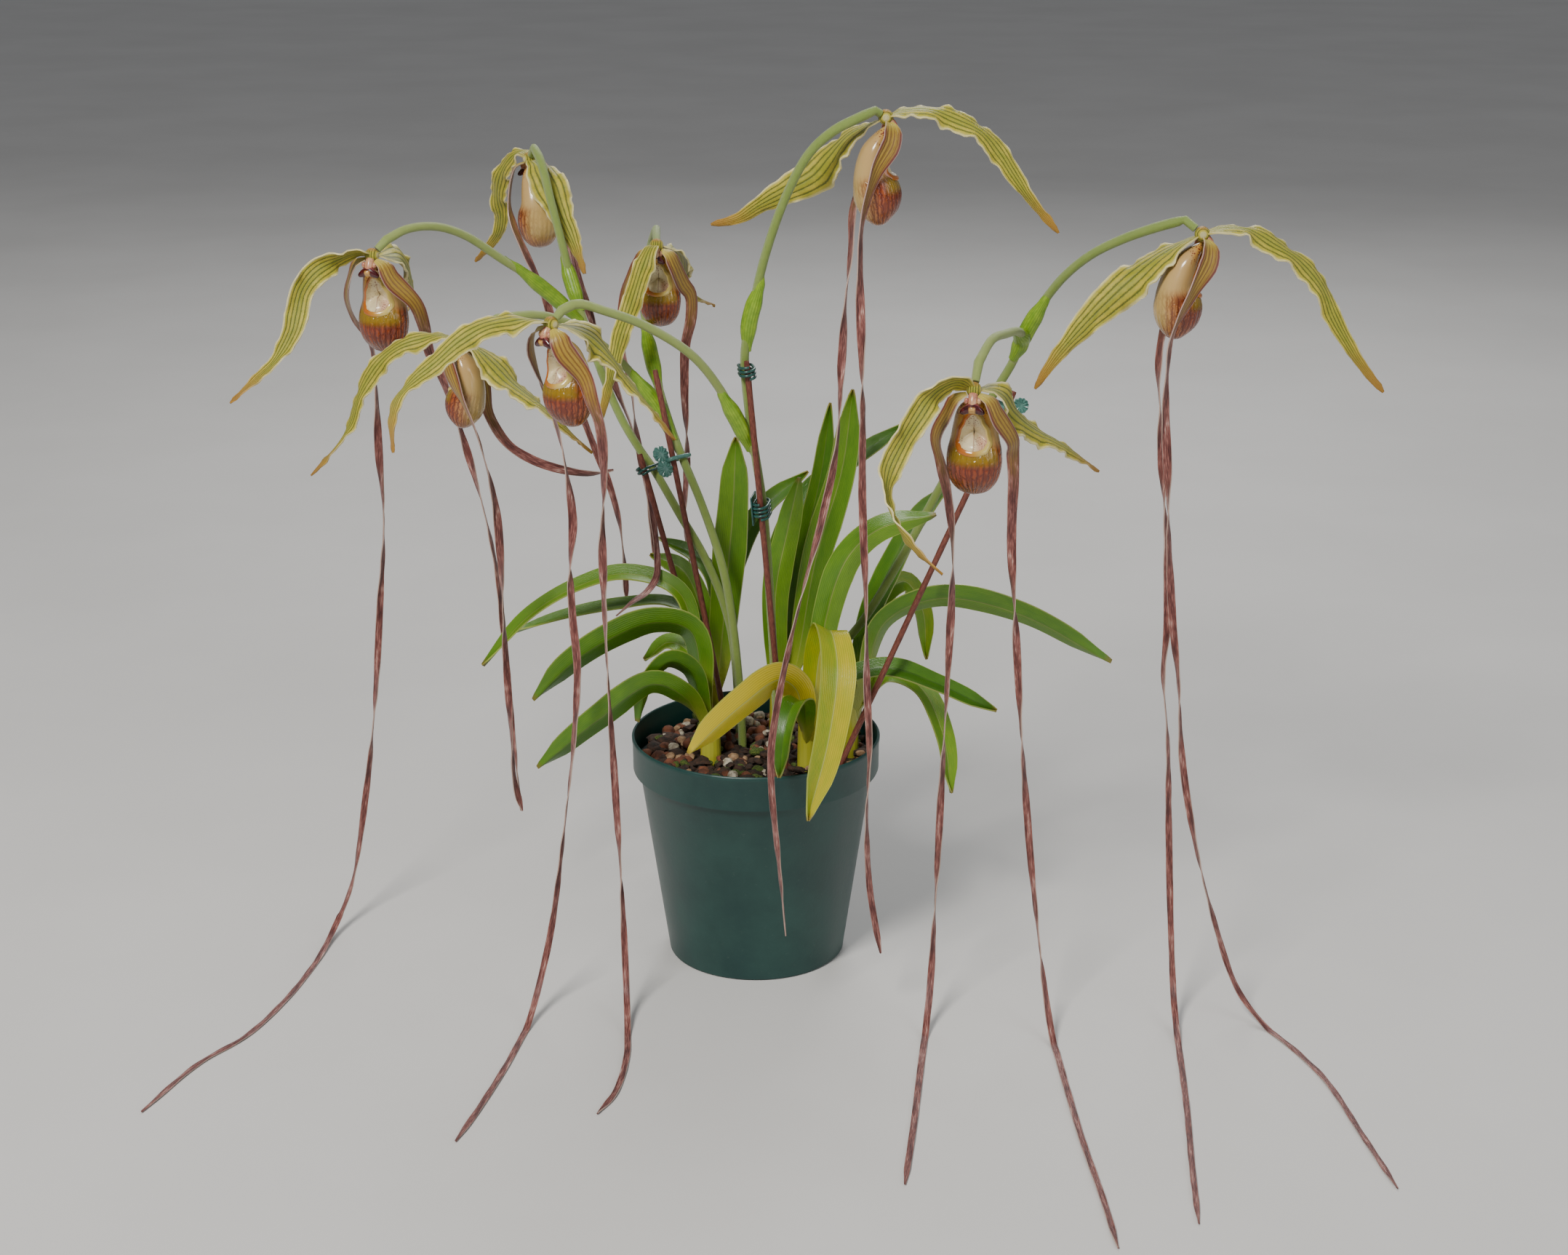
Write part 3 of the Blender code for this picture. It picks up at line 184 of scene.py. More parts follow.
# Each flowering stem: its own route up to the last bloom, the side branch to the other bloom,
# and the bracts that sheathe the start of each bloom's stalk
SCAPES = {
    "scape_centre": dict(
        main=[(14, -20, 104), (13, -20, 150), (9, -25, 230), (5, -31, 290), (0, -32, 325),
            (-3, -34, 348), (-5, -36, 380), (0, -40, 408), (7, -44, 438), (19, -49, 472),
            (31, -52, 494), (44, -54, 506), (56, -53, 512), (66, -49, 516)],
        main_top="f",
        branch=[(0, -32, 322), (-8, -36, 338), (-18, -43, 360), (-34, -53, 383), (-60, -63, 402),
            (-80, -70, 411), (-95, -75, 416), (-103, -78, 413)],
        branch_top="d",
        bracts=[((-2, -32, 324), (-9, -37, 341), (-18, -43, 359)),
                ((-4, -35, 382), (-2, -38, 400), (4, -42, 421))]),
    "scape_left": dict(
        main=[(-8, 8, 104), (-9, 8, 150), (-14, 11, 207), (-20, 16, 240), (-32, 28, 274),
            (-46, 45, 304), (-55, 60, 326), (-62, 80, 345), (-67, 102, 361), (-70, 120, 378),
            (-69, 129, 398), (-65, 127, 414), (-61, 111, 426)],
        main_top="e",
        branch=[(-46, 45, 303), (-57, 52, 325), (-73, 51, 348), (-90, 43, 368), (-108, 32, 383),
            (-126, 20, 391), (-148, 10, 391)],
        branch_top="c",
        bracts=[((-49, 47, 309), (-59, 53, 329), (-74, 50, 350)),
                ((-59, 71, 336), (-64, 88, 351), (-69, 109, 367))]),
    "scape_far_left": dict(
        main=[(-10, 24, 104), (-11, 24, 150), (-16, 26, 200), (-30, 33, 238), (-46, 43, 264),
            (-62, 55, 289), (-70, 61, 299), (-82, 70, 317), (-94, 80, 343), (-105, 92, 372),
            (-112, 101, 392), (-118, 106, 416), (-125, 115, 441), (-132, 129, 464), (-137, 141, 471)],
        main_top="b",
        branch=[(-105, 92, 370), (-119, 88, 385), (-134, 82, 400), (-152, 74, 414), (-172, 63, 430),
            (-188, 52, 437), (-203, 42, 437), (-214, 35, 432)],
        branch_top="a",
        bracts=[((-107, 91, 373), (-124, 86, 390), (-145, 77, 410)),
                ((-107, 95, 378), (-112, 101, 392), (-117, 107, 408))]),
    "scape_right": dict(
        main=[(34, 10, 104), (35, 10, 150), (44, 9, 180), (66, 7, 211), (88, 2, 252), (112, -5, 302),
            (129, -10, 335), (139, -15, 356), (147, -19, 372), (154, -23, 392), (163, -28, 409),
            (173, -35, 424), (186, -43, 437), (202, -51, 447), (219, -60, 455), (233, -66, 460)],
        main_top="h",
        branch=[(147, -19, 372), (151, -27, 386), (147, -42, 394), (139, -58, 396), (130, -74, 396),
            (122, -89, 387)],
        branch_top="g",
        bracts=[((147, -20, 374), (151, -26, 386), (148, -36, 392)),
                ((148, -20, 376), (155, -24, 393), (163, -29, 409))]),
}

# Each fan of leaves: where its crown stands, and its leaves as half their width, how far their
# faces turn to the light as a share, and their routes
FANS = {
    "leaves_left_front": dict(crown=(-27, -14), leaves=[
        (7.5, 0.35, [(-46, 26, 219), (-78, 34, 229), (-107, 36, 221), (-138, 36, 202), (-167, 34, 170)]),
        (11, 0.6, [(-38, -18, 210), (-58, -22, 217), (-84, -27, 209), (-108, -31, 194), (-130, -33, 172)]),
        (7.5, 0.55, [(-38, -31, 190), (-50, -38, 198), (-62, -42, 186), (-68, -42, 162)]),
        (9.5, 0.7, [(-42, -36, 176), (-60, -46, 187), (-90, -55, 169), (-126, -60, 140)]),
        (7, 0.5, [(-40, -4, 192), (-52, 2, 196), (-66, 4, 184)]),
    ]),
    "leaves_left_back": dict(crown=(-27, 38), leaves=[
        (6.5, 0.35, [(-36, 48, 192), (-54, 56, 203), (-85, 61, 200), (-118, 62, 193), (-154, 62, 181)]),
        (10.5, 1, [(-18, 46, 220), (-14, 50, 266), (-12, 53, 310)]),
        (7.5, 0.8, [(-36, 58, 204), (-46, 66, 222), (-66, 74, 229)]),
        (6, 0.4, [(-26, 70, 212), (-40, 84, 226), (-62, 92, 234)]),
        (7, 0.8, [(-14, 64, 224), (4, 78, 258), (32, 90, 278)]),
    ]),
    "leaves_front": dict(crown=(31, -22), leaves=[
        (11.5, 0.7, [(24, -46, 184), (13, -58, 194), (-5, -70, 185), (-24, -80, 171), (-37, -86, 159)]),
        (7, 0, [(28, -55, 179), (22, -70, 183), (17, -82, 171), (15, -89, 146)]),
        (11, 0, [(38, -44, 206), (43, -58, 224), (47, -80, 210), (42, -96, 172), (30, -106, 127)]),
        (6.5, 0.65, [(52, -20, 180), (78, -23, 189), (108, -27, 180), (142, -30, 164)]),
        (9, 0.95, [(42, -24, 222), (54, -26, 258), (72, -29, 276), (104, -34, 286)]),
    ]),
    "leaves_right": dict(crown=(56, 0), leaves=[
        (9, 0.6, [(76, -6, 211), (108, -10, 228), (156, -16, 220), (210, -20, 191)]),
        (7.5, 0.6, [(78, 6, 174), (98, 4, 168), (113, 0, 138), (118, -4, 102)]),
        (7.5, 0.8, [(68, 18, 206), (83, 26, 240), (98, 32, 266), (117, 36, 285)]),
        (6.5, 0.9, [(72, 30, 208), (90, 42, 222), (102, 48, 202), (105, 52, 169)]),
    ]),
    "leaves_right_back": dict(crown=(14, 40), leaves=[
        (6.5, 1, [(28, 48, 233), (40, 56, 289), (45, 62, 329)]),
        (9.5, 1, [(36, 38, 236), (52, 42, 293), (58, 46, 341)]),
        (7, 0.8, [(12, 60, 230), (32, 70, 270), (60, 78, 290), (95, 86, 311)]),
        (8.5, 1, [(12, 26, 221), (19, 24, 259), (26, 24, 292)]),
    ]),
}

# Stakes as top and bottom points
STAKES = {
    "stake_centre": ((-4, -41, 377), (21, -29, 96)),
    "stake_left": ((-60, 49, 352), (-9, 1, 96)),
    "stake_far_left": ((-70, 50, 300), (-14, 18, 96)),
    "stake_right": ((149, -12, 353), (33, -50, 98)),
}

# Coil clips: the stem and stake they hold, the height they sit at and their turns
COIL_CLIPS = {
    "clip_centre_upper": dict(stem="scape_centre", stake="stake_centre", height=371, turns=3),
    "clip_centre_lower": dict(stem="scape_centre", stake="stake_centre", height=290, turns=4),
    "clip_far_left": dict(stem="scape_far_left", stake="stake_far_left", height=290, turns=2),
}
WIRE_RADIUS, WIRE_PITCH, WIRE_STEPS = 0.8, 2.3, 28

# Spring claw clips: as above, and the radius of their fluted finger grips
CLAW_CLIPS = {
    "clip_left": dict(stem="scape_left", stake="stake_left", height=300, grip=5.0),
    "clip_right": dict(stem="scape_right", stake="stake_right", height=348, grip=4.6),
}
CLAW_RADIUS, CLAW_STEPS = 1.3, 48

UP = Vector((0, 0, 1))

# Faces of leaves and sepals turn this way, over the first share of their length
LIGHT = Vector((0.0, -0.95, 0.32))
LEAN_LENGTH = 0.3

# Pouch rings from its claw down to its toe: height, back and front of the ring, half its width
POUCH_RINGS = [(-4.7, -0.5, -0.5, 0), (-8, -8, 0.5, 6), (-14, -16, -1, 10), (-22, -21, -2, 12),
               (-30, -24, -3, 13.5), (-37, -25.5, 1, 15), (-45, -26, 2, 15), (-53, -23.5, -1, 13),
               (-59.5, -18.5, -8, 8), (-62, -13, -13, 0)]
MOUTH_TOP, MOUTH_LIP = -13.0, -35.0

# Steps round the slipper's mouth, and ribs round its toe
MOUTH_STEPS = 56
TOE_RIBS = 26

# The mouth's outline as half its width at each height
MOUTH_OUTLINE = [(-13.0, 0.0), (-14.0, 2.0), (-18.0, 4.6), (-24.0, 7.2), (-30.0, 8.2), (-33.5, 6.6),
                 (-34.6, 3.6), (-35.0, 0.0)]

# The rim and the lobes, ring by ring: how much of the mouth's outline, and how far out of the skin
RIM_PROFILE = [(1.24, 0.1), (1.16, 0.9), (1.04, 1.35), (0.94, 0.9)]
LOBE_PROFILE = [(0.94, 0.9), (0.88, -0.5), (0.78, -1.5), (0.62, -2.0), (0.42, -2.5), (0.2, -3.1),
                (0.03, -3.5)]

# The slipper seen from its side: how far back it reaches, its depth and its height
POUCH_BACK, POUCH_DEPTH, POUCH_TALL = 26.0, 28.0, 62.0

# How yellow each leaf is, from 0, deep green, to 1, yellow
LEAF_TONES = {
    "leaves_left_front": [0.50, 0.30, 0.25, 0.30, 0.50],
    "leaves_left_back": [0.40, 0.45, 0.50, 0.30, 0.30],
    "leaves_front": [1.00, 0.25, 0.80, 0.20, 0.45],
    "leaves_right": [0.40, 0.55, 0.25, 0.60],
    "leaves_right_back": [0.35, 0.45, 0.20, 0.45],
}

# The coil clips that have a flat plate behind their spring
PLATED_CLIPS = ("clip_centre_lower",)


# Routes and frames

def metres(point):
    return Vector(point) * MM


def heading(angle):
    return Vector((math.cos(math.radians(angle)), math.sin(math.radians(angle)), 0.0))


def smooth_route(points, count):
    """Points spaced evenly along one smooth curve through the design points."""
    knots = [metres(p) for p in points]
    knots = [knots[0] * 2 - knots[1]] + knots + [knots[-1] * 2 - knots[-2]]
    fine = []
    for a, b, c, d in zip(knots, knots[1:], knots[2:], knots[3:]):
        ta = 0.0
        tb = ta + (b - a).length ** 0.5
        tc = tb + (c - b).length ** 0.5
        td = tc + (d - c).length ** 0.5
        for step in range(FINE_STEPS):
            t = tb + (tc - tb) * step / FINE_STEPS
            ab = a.lerp(b, (t - ta) / (tb - ta))
            bc = b.lerp(c, (t - tb) / (tc - tb))
            cd = c.lerp(d, (t - tc) / (td - tc))
            abc = ab.lerp(bc, (t - ta) / (tc - ta))
            bcd = bc.lerp(cd, (t - tb) / (td - tb))
            fine.append(abc.lerp(bcd, (t - tb) / (tc - tb)))
    fine.append(knots[-2])
    lengths = [0.0]
    for a, b in zip(fine, fine[1:]):
        lengths.append(lengths[-1] + (b - a).length)
    even = []
    at = 0
    for row in range(count):
        target = lengths[-1] * row / (count - 1)
        while at < len(fine) - 2 and lengths[at + 1] < target:
            at += 1
        share = (target - lengths[at]) / (lengths[at + 1] - lengths[at])
        even.append(fine[at].lerp(fine[at + 1], share))
    return even


def length_of(points):
    return sum((Vector(b) - Vector(a)).length for a, b in zip(points, points[1:]))


def blend(table, at):
    """A value read from (place, value) pairs, with straight steps between them."""
    for (a, low), (b, high) in zip(table, table[1:]):
        if at <= b:
            return low + (high - low) * (at - a) / (b - a)
    return table[-1][1]


def ease(value, low, high):
    """Rises smoothly from 0 at low to 1 at high."""
    share = min(1.0, max(0.0, (value - low) / (high - low)))
    return share * share * (3 - 2 * share)


def eased(table, at):
    """A value read from (place, value) pairs, with soft steps between them."""
    for (a, low), (b, high) in zip(table, table[1:]):
        if at <= b:
            return low + (high - low) * ease(at, a, b)
    return table[-1][1]


def direction(route, row):
    return (route[min(row + 1, len(route) - 1)] - route[max(row - 1, 0)]).normalized()


def rolled_sides(route, start, roll, lean=0.0):
    """Directions for a blade's width: carried along the route, turned to the light, then rolled."""
    sides = []
    carried = start
    last = 0.0
    for row in range(len(route)):
        along = row / (len(route) - 1)
        tangent = direction(route, row)
        carried = (carried - tangent * carried.dot(tangent)).normalized()
        lit = tangent.cross(LIGHT).normalized()
        turn = math.atan2(tangent.dot(carried.cross(lit)), carried.dot(lit))
        turn -= math.pi * round((turn - last) / math.pi)
        last = turn
        sides.append(Matrix.Rotation(roll(along) + turn * lean * ease(along, 0.0, LEAN_LENGTH), 3,
                                     tangent) @ carried)
    return sides


# Meshes and pieces

def linked(name, data):
    """A new object in the scene."""
    item = bpy.data.objects.new(name, data)
    bpy.context.scene.collection.objects.link(item)
    return item


def new_object(name, bm):
    mesh = bpy.data.meshes.new(name)
    bm.to_mesh(mesh)
    bm.free()
    return linked(name, mesh)


def applied(item):
    """The item as a plain mesh, with its modifiers worked in."""
    depsgraph = bpy.context.evaluated_depsgraph_get()
    mesh = bpy.data.meshes.new_from_object(item.evaluated_get(depsgraph))
    item.modifiers.clear()
    item.data = mesh
    return item


def thickened(item, thick, offset=0.0, inner=0):
    """The item with the wall that Solidify gives it, and another finish inside where inner is 1."""
    wall = item.modifiers.new("wall", "SOLIDIFY")
    wall.thickness = thick * MM
    wall.offset = offset
    wall.material_offset = inner
    wall.material_offset_rim = 0
    return applied(item)


def blade(name, route, sides, half_width, cols, lift, thick, tone=0.5, scale=None):
    """A thin blade along a route. Its UV map runs across it and along it."""
    rows = len(route) - 1
    length = length_of(route) / MM
    bm = bmesh.new()
    bmesh.ops.create_grid(bm, x_segments=cols, y_segments=rows, size=1.0)
    shape = bm.loops.layers.uv.new("shape")
    tones = bm.verts.layers.float.new("tone")
    for face in bm.faces:
        for loop in face.loops:
            along = (loop.vert.co.y + 1) / 2
            loop[shape].uv = ((loop.vert.co.x + 1) / 2, along * (length / scale if scale else 1))
    for vert in bm.verts:
        across = vert.co.x
        row = round((vert.co.y + 1) / 2 * rows)
        along = row / rows
        up = direction(route, row).cross(sides[row])
        vert[tones] = tone
        vert.co = route[row] + (sides[row] * half_width(along) * across + up * lift(along, across)) * MM
    bmesh.ops.recalc_face_normals(bm, faces=bm.faces)
    return thickened(new_object(name, bm), thick)


def rod(name, route, radius, around, tone=0.5, shape_of=None):
    """A round stem along a route, closed at both ends. Its UV map runs round it and along it."""
    rows = len(route) - 1
    length = length_of(route) / MM
    sides = rolled_sides(route, direction(route, 0).orthogonal(), lambda along: 0.0)
    bm = bmesh.new()
    bmesh.ops.create_grid(bm, x_segments=around, y_segments=rows, size=1.0)
    shape = bm.loops.layers.uv.new("shape")
    tones = bm.verts.layers.float.new("tone")
    for face in bm.faces:
        for loop in face.loops:
            loop[shape].uv = ((loop.vert.co.x + 1) / 2, (loop.vert.co.y + 1) / 2 * length / LONGEST)
    for vert in bm.verts:
        angle = vert.co.x * math.pi
        row = round((vert.co.y + 1) / 2 * rows)
        up = direction(route, row).cross(sides[row])
        reach = radius(row / rows)
        if shape_of:
            reach *= shape_of(row / rows, angle)
        vert[tones] = tone
        vert.co = route[row] + (sides[row] * math.cos(angle) + up * math.sin(angle)) * reach * MM
    bmesh.ops.remove_doubles(bm, verts=bm.verts, dist=1e-7)
    bmesh.ops.holes_fill(bm, edges=bm.edges, sides=around)
    bmesh.ops.recalc_face_normals(bm, faces=bm.faces)
    return new_object(name, bm)


def ball(name, centre, radii, turn, segments=24, rings=16, shape_of=None):
    """A rounded lump with its own three radii, turned into a bloom's frame."""
    bm = bmesh.new()
    bmesh.ops.create_uvsphere(bm, u_segments=segments, v_segments=rings, radius=1.0)
    shape = bm.loops.layers.uv.new("shape")
    for face in bm.faces:
        for loop in face.loops:
            loop[shape].uv = (loop.vert.co.y / 2 + 0.5, loop.vert.co.z / 2 + 0.5)
    if shape_of:
        for vert in bm.verts:
            vert.co = shape_of(vert.co.copy())
    matrix = turn.to_4x4() @ Matrix.Diagonal((*(r * MM for r in radii), 1.0))
    bmesh.ops.transform(bm, matrix=Matrix.Translation(metres(centre)) @ matrix, verts=bm.verts)
    return new_object(name, bm)


def turned(name, outline, steps):
    """A turned solid from its profile, spun round the pot's axis."""
    bm = bmesh.new()
    verts = [bm.verts.new(metres((radius, 0, height))) for radius, height in outline]
    for a, b in zip(verts, verts[1:]):
        bm.edges.new((a, b))
    bmesh.ops.spin(bm, geom=bm.verts[:] + bm.edges[:], cent=(0, 0, 0), axis=(0, 0, 1), angle=math.tau,
                   steps=steps, use_merge=True)
    bmesh.ops.remove_doubles(bm, verts=bm.verts, dist=1e-6)
    bmesh.ops.recalc_face_normals(bm, faces=bm.faces)
    return new_object(name, bm)


def painted(item, *finishes):
    item.data.materials.clear()
    for finish in finishes:
        item.data.materials.append(finish)
    return item


def joined(name, items):
    """One piece from several, with their materials, UV maps and tones kept."""
    base = items[0]
    with bpy.context.temp_override(active_object=base, object=base, selected_objects=items,
                                   selected_editable_objects=items):
        bpy.ops.object.join()
    base.name = name
    return base


def shown(item, node, crease=50):
    """A finished piece stands for its CAD node and rides on the part's one body."""
    item.data.shade_smooth()
    item.data.set_sharp_from_angle(angle=math.radians(crease))
    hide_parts(node)
    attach(item, "root")
    return item


# Finishes

class Finish:
    """A material and short ways to add its nodes; each one gives back the socket it makes."""

    def __init__(self, name, roughness, **sockets):
        self.material = bpy.data.materials.new(name)
        self.material.use_nodes = True
        self.nodes = self.material.node_tree.nodes
        self.links = self.material.node_tree.links
        self.shader = self.nodes["Principled BSDF"]
        self.shader.inputs["Roughness"].default_value = roughness
        for socket, value in sockets.items():
            self.shader.inputs[socket.replace("_", " ")].default_value = value

    def put(self, socket, value):
        if isinstance(value, bpy.types.NodeSocket):
            self.links.new(value, socket)
        else:
            socket.default_value = value

    def node(self, kind, out, inputs, **settings):
        made = self.nodes.new("ShaderNode" + kind)
        for key, value in settings.items():
            setattr(made, key, value)
        for key, value in inputs.items():
            self.put(made.inputs[key], value)
        return made.outputs[out]

    def shape(self, name="shape"):
        """One of the piece's own maps: across or round it, and along it."""
        place = self.node("UVMap", "UV", {}, uv_map=name)
        split = self.nodes.new("ShaderNodeSeparateXYZ")
        self.links.new(place, split.inputs[0])
        return place, split.outputs[0], split.outputs[1]

    def place(self):
        return self.node("TexCoord", "Object", {})

    def tone(self):
        return self.node("Attribute", "Fac", {}, attribute_name="tone")

    def scaled(self, vector, x, y, z=1.0):
        return self.node("Mapping", "Vector", {"Vector": vector, "Scale": (x, y, z)})

    def calc(self, operation, a, b=0.0, c=0.0):
        return self.node("Math", 0, {0: a, 1: b, 2: c}, operation=operation)

    def times(self, a, b):
        return self.calc("MULTIPLY", a, b)

    def edge(self, across):
        """0 along a blade's middle and 1 at its margins."""
        return self.calc("ABSOLUTE", self.calc("MULTIPLY_ADD", across, 2.0, -1.0))

    def noise(self, vector, scale, detail=3.0, rough=0.55):
        return self.node("TexNoise", "Fac", {"Vector": vector, "Scale": scale, "Detail": detail,
                                             "Roughness": rough})

    def cells(self, vector, scale, feature="DISTANCE_TO_EDGE"):
        return self.node("TexVoronoi", "Distance", {"Vector": vector, "Scale": scale}, feature=feature)

    def soft(self, value, low, high):
        """Rises smoothly from 0 where the value is low to 1 where it is high."""
        return self.node("MapRange", "Result", {"Value": value, "From Min": low, "From Max": high},
                         interpolation_type="SMOOTHSTEP")

    def ramp(self, value, stops):
        made = self.nodes.new("ShaderNodeValToRGB")
        elements = made.color_ramp.elements
        while len(elements) < len(stops):
            elements.new(0.5)
        for element, (position, colour) in zip(elements, stops):
            element.position = position
            element.color = (*colour, 1.0)
        self.links.new(value, made.inputs[0])
        return made.outputs[0]

    def mix(self, share, a, b):
        made = self.nodes.new("ShaderNodeMix")
        made.data_type = "RGBA"
        made.clamp_result = True
        for socket, value in ((made.inputs[0], share), (made.inputs[6], a), (made.inputs[7], b)):
            if isinstance(value, tuple):
                value = (*value, 1.0)
            self.put(socket, value)
        return made.outputs[2]

    def bump(self, height, depth):
        """Fine relief: depth is in millimetres for a height from 0 to 1."""
        normal = self.node("Bump", "Normal", {"Height": height, "Distance": depth * MM, "Strength": 1.0})
        self.links.new(normal, self.shader.inputs["Normal"])

    def done(self, colour, roughness=None):
        self.links.new(colour, self.shader.inputs["Base Color"])
        if roughness is not None:
            self.links.new(roughness, self.shader.inputs["Roughness"])
        return self.material


def stripes(finish, across, count, sharp, wander, vector):
    """Fine parallel, slightly wandering lines across a blade: 1 on a line and 0 between the lines."""
    drift = finish.calc("SUBTRACT", finish.noise(vector, 9.0, 2.0), 0.5)
    across = finish.calc("MULTIPLY_ADD", drift, wander, across)
    wave = finish.calc("COSINE", finish.times(across, math.tau * count))
    lifted = finish.calc("MULTIPLY_ADD", wave, 0.5, 0.5)
    return finish.calc("POWER", lifted, sharp)


def sepal_finish():
    """Yellow-green blades with dark green veins along them, whitish margins and ochre tips."""
    f = Finish("sepal_tissue", 0.42, Specular_IOR_Level=0.4, Sheen_Weight=0.08)
    vector, across, along = f.shape()
    stretched = f.scaled(vector, 3.0, 14.0)
    # The noise spreads each blade from yellow-green to a lighter yellow: partly its own uneven tone, partly
    # painted highlight.
    colour = f.ramp(f.noise(stretched, 1.6), [(0.3, (0.31, 0.30, 0.014)), (0.7, (0.50, 0.41, 0.040))])
    edge = f.edge(across)
    colour = f.mix(f.times(f.soft(edge, 0.6, 0.0), 0.45), colour, (0.15, 0.21, 0.010))
    veins = stripes(f, across, 6.0, 4.0, 0.05, stretched)
    colour = f.mix(f.times(veins, 0.9), colour, (0.050, 0.075, 0.003))
    colour = f.mix(f.soft(edge, 0.82, 0.98), colour, (0.70, 0.63, 0.30))
    colour = f.mix(f.soft(along, 0.72, 1.0), colour, (0.38, 0.19, 0.02))
    colour = f.mix(f.soft(along, 0.06, 0.0), colour, (0.44, 0.36, 0.05))
    grain = f.noise(f.scaled(vector, 20.0, 120.0), 4.0)
    f.bump(f.calc("MULTIPLY_ADD", veins, -0.6, f.times(grain, 0.4)), 0.4)
    return f.done(colour)


def leaf_finish():
    """Glossy strap leaves: fine veins, a painted highlight on one half, a midrib and thin margins."""
    f = Finish("leaf_blade", 0.3, Specular_IOR_Level=0.45, Coat_Weight=0.12, Coat_Roughness=0.22)
    vector, across, along = f.shape()
    tone = f.tone()
    patches = f.noise(f.scaled(vector, 2.0, 7.0), 1.8)
    toned = f.calc("ADD", f.times(tone, 0.85), f.times(patches, 0.25))
    # Painted highlight: one half of the folded blade is lighter than the other, standing in for light on
    # that side of the fold.
    toned = f.calc("MULTIPLY_ADD", f.soft(across, 0.46, 0.54), 0.10, toned)
    colour = f.ramp(toned, [(0.15, (0.020, 0.070, 0.003)), (0.42, (0.060, 0.165, 0.006)),
                            (0.70, (0.16, 0.31, 0.008)), (1.0, (0.58, 0.45, 0.016))])
    edge = f.edge(across)
    lines = stripes(f, across, 17.0, 2.0, 0.015, f.scaled(vector, 2.0, 6.0))
    colour = f.mix(f.times(lines, 0.25), colour, (0.03, 0.09, 0.004))
    midrib = f.ramp(toned, [(0.35, (0.025, 0.075, 0.004)), (0.75, (0.42, 0.44, 0.12))])
    colour = f.mix(f.times(f.soft(edge, 0.07, 0.01), 0.75), colour, midrib)
    colour = f.mix(f.times(f.soft(edge, 0.93, 1.0), 0.6), colour, (0.38, 0.42, 0.09))
    base = f.soft(f.calc("MULTIPLY_ADD", patches, 0.12, along), 0.40, 0.08)
    colour = f.mix(f.times(base, 0.8), colour, (0.42, 0.42, 0.05))
    colour = f.mix(f.times(f.soft(along, 0.97, 1.0), 0.7), colour, (0.20, 0.11, 0.02))
    grain = f.noise(f.scaled(vector, 30.0, 60.0), 3.0)
    f.bump(f.calc("MULTIPLY_ADD", lines, 0.5, f.times(grain, 0.4)), 0.14)
    return f.done(colour)


def petal_finish():
    """Golden straps with brown stripes and maroon margins, then ribbons from dark wine to pale pink."""
    f = Finish("petal_tissue", 0.42, Specular_IOR_Level=0.4, Sheen_Weight=0.12)
    vector, across, run = f.shape()
    along = f.times(run, LONGEST)
    fleck = f.noise(f.scaled(vector, 5.0, 60.0), 2.0)
    drift = f.noise(f.scaled(vector, 1.0, 22.0), 1.4)
    # The ribbons run from dark wine to pale pink; the pale pink patches are partly their own colour and
    # partly painted highlight.
    tone_and_highlight = f.calc("MULTIPLY_ADD", f.calc("SUBTRACT", fleck, 0.5), 0.7, drift)
    colour = f.ramp(tone_and_highlight, [(0.30, (0.045, 0.008, 0.008)), (0.46, (0.14, 0.040, 0.032)),
                            (0.60, (0.28, 0.105, 0.085)), (0.78, (0.58, 0.36, 0.30))])
    edge = f.edge(across)
    veins = stripes(f, across, 4.0, 4.0, 0.08, f.scaled(vector, 2.0, 30.0))
    colour = f.mix(f.times(veins, 0.45), colour, (0.09, 0.018, 0.018))
    strap = f.mix(fleck, (0.27, 0.15, 0.012), (0.42, 0.27, 0.032))
    lines = stripes(f, across, 5.0, 2.5, 0.05, f.scaled(vector, 2.0, 30.0))
    strap = f.mix(f.times(lines, 0.75), strap, (0.10, 0.028, 0.010))
    strap = f.mix(f.soft(edge, 0.62, 0.86), strap, (0.14, 0.025, 0.018))
    strap = f.mix(f.soft(along, 10.0, 2.0), strap, (0.48, 0.38, 0.06))
    colour = f.mix(f.soft(f.calc("MULTIPLY_ADD", fleck, 30.0, along), 40.0, 90.0), strap, colour)
    colour = f.mix(f.times(f.soft(edge, 0.9, 1.0), 0.6), colour, (0.56, 0.42, 0.34))
    f.bump(f.calc("MULTIPLY_ADD", veins, -0.6, f.times(fleck, 0.5)), 0.25)
    return f.done(colour)


def stem_finish():
    """Pale, finely hairy green stems; the tone is higher on the stalks near the blooms."""
    f = Finish("stem_skin", 0.5, Sheen_Weight=0.35, Sheen_Roughness=0.4)
    vector = f.shape()[0]
    patches = f.noise(f.scaled(vector, 3.0, 40.0), 2.0)
    toned = f.calc("ADD", f.times(f.tone(), 0.85), f.times(patches, 0.25))
    colour = f.ramp(toned, [(0.1, (0.08, 0.14, 0.012)), (0.45, (0.18, 0.27, 0.035)),
                            (0.75, (0.30, 0.36, 0.10))])
    hairs = f.noise(f.scaled(vector, 60.0, 900.0), 3.0, 2.0)
    colour = f.mix(f.times(f.soft(hairs, 0.58, 0.72), 0.4), colour, (0.56, 0.58, 0.36))
    f.bump(hairs, 0.25)
    return f.done(colour)


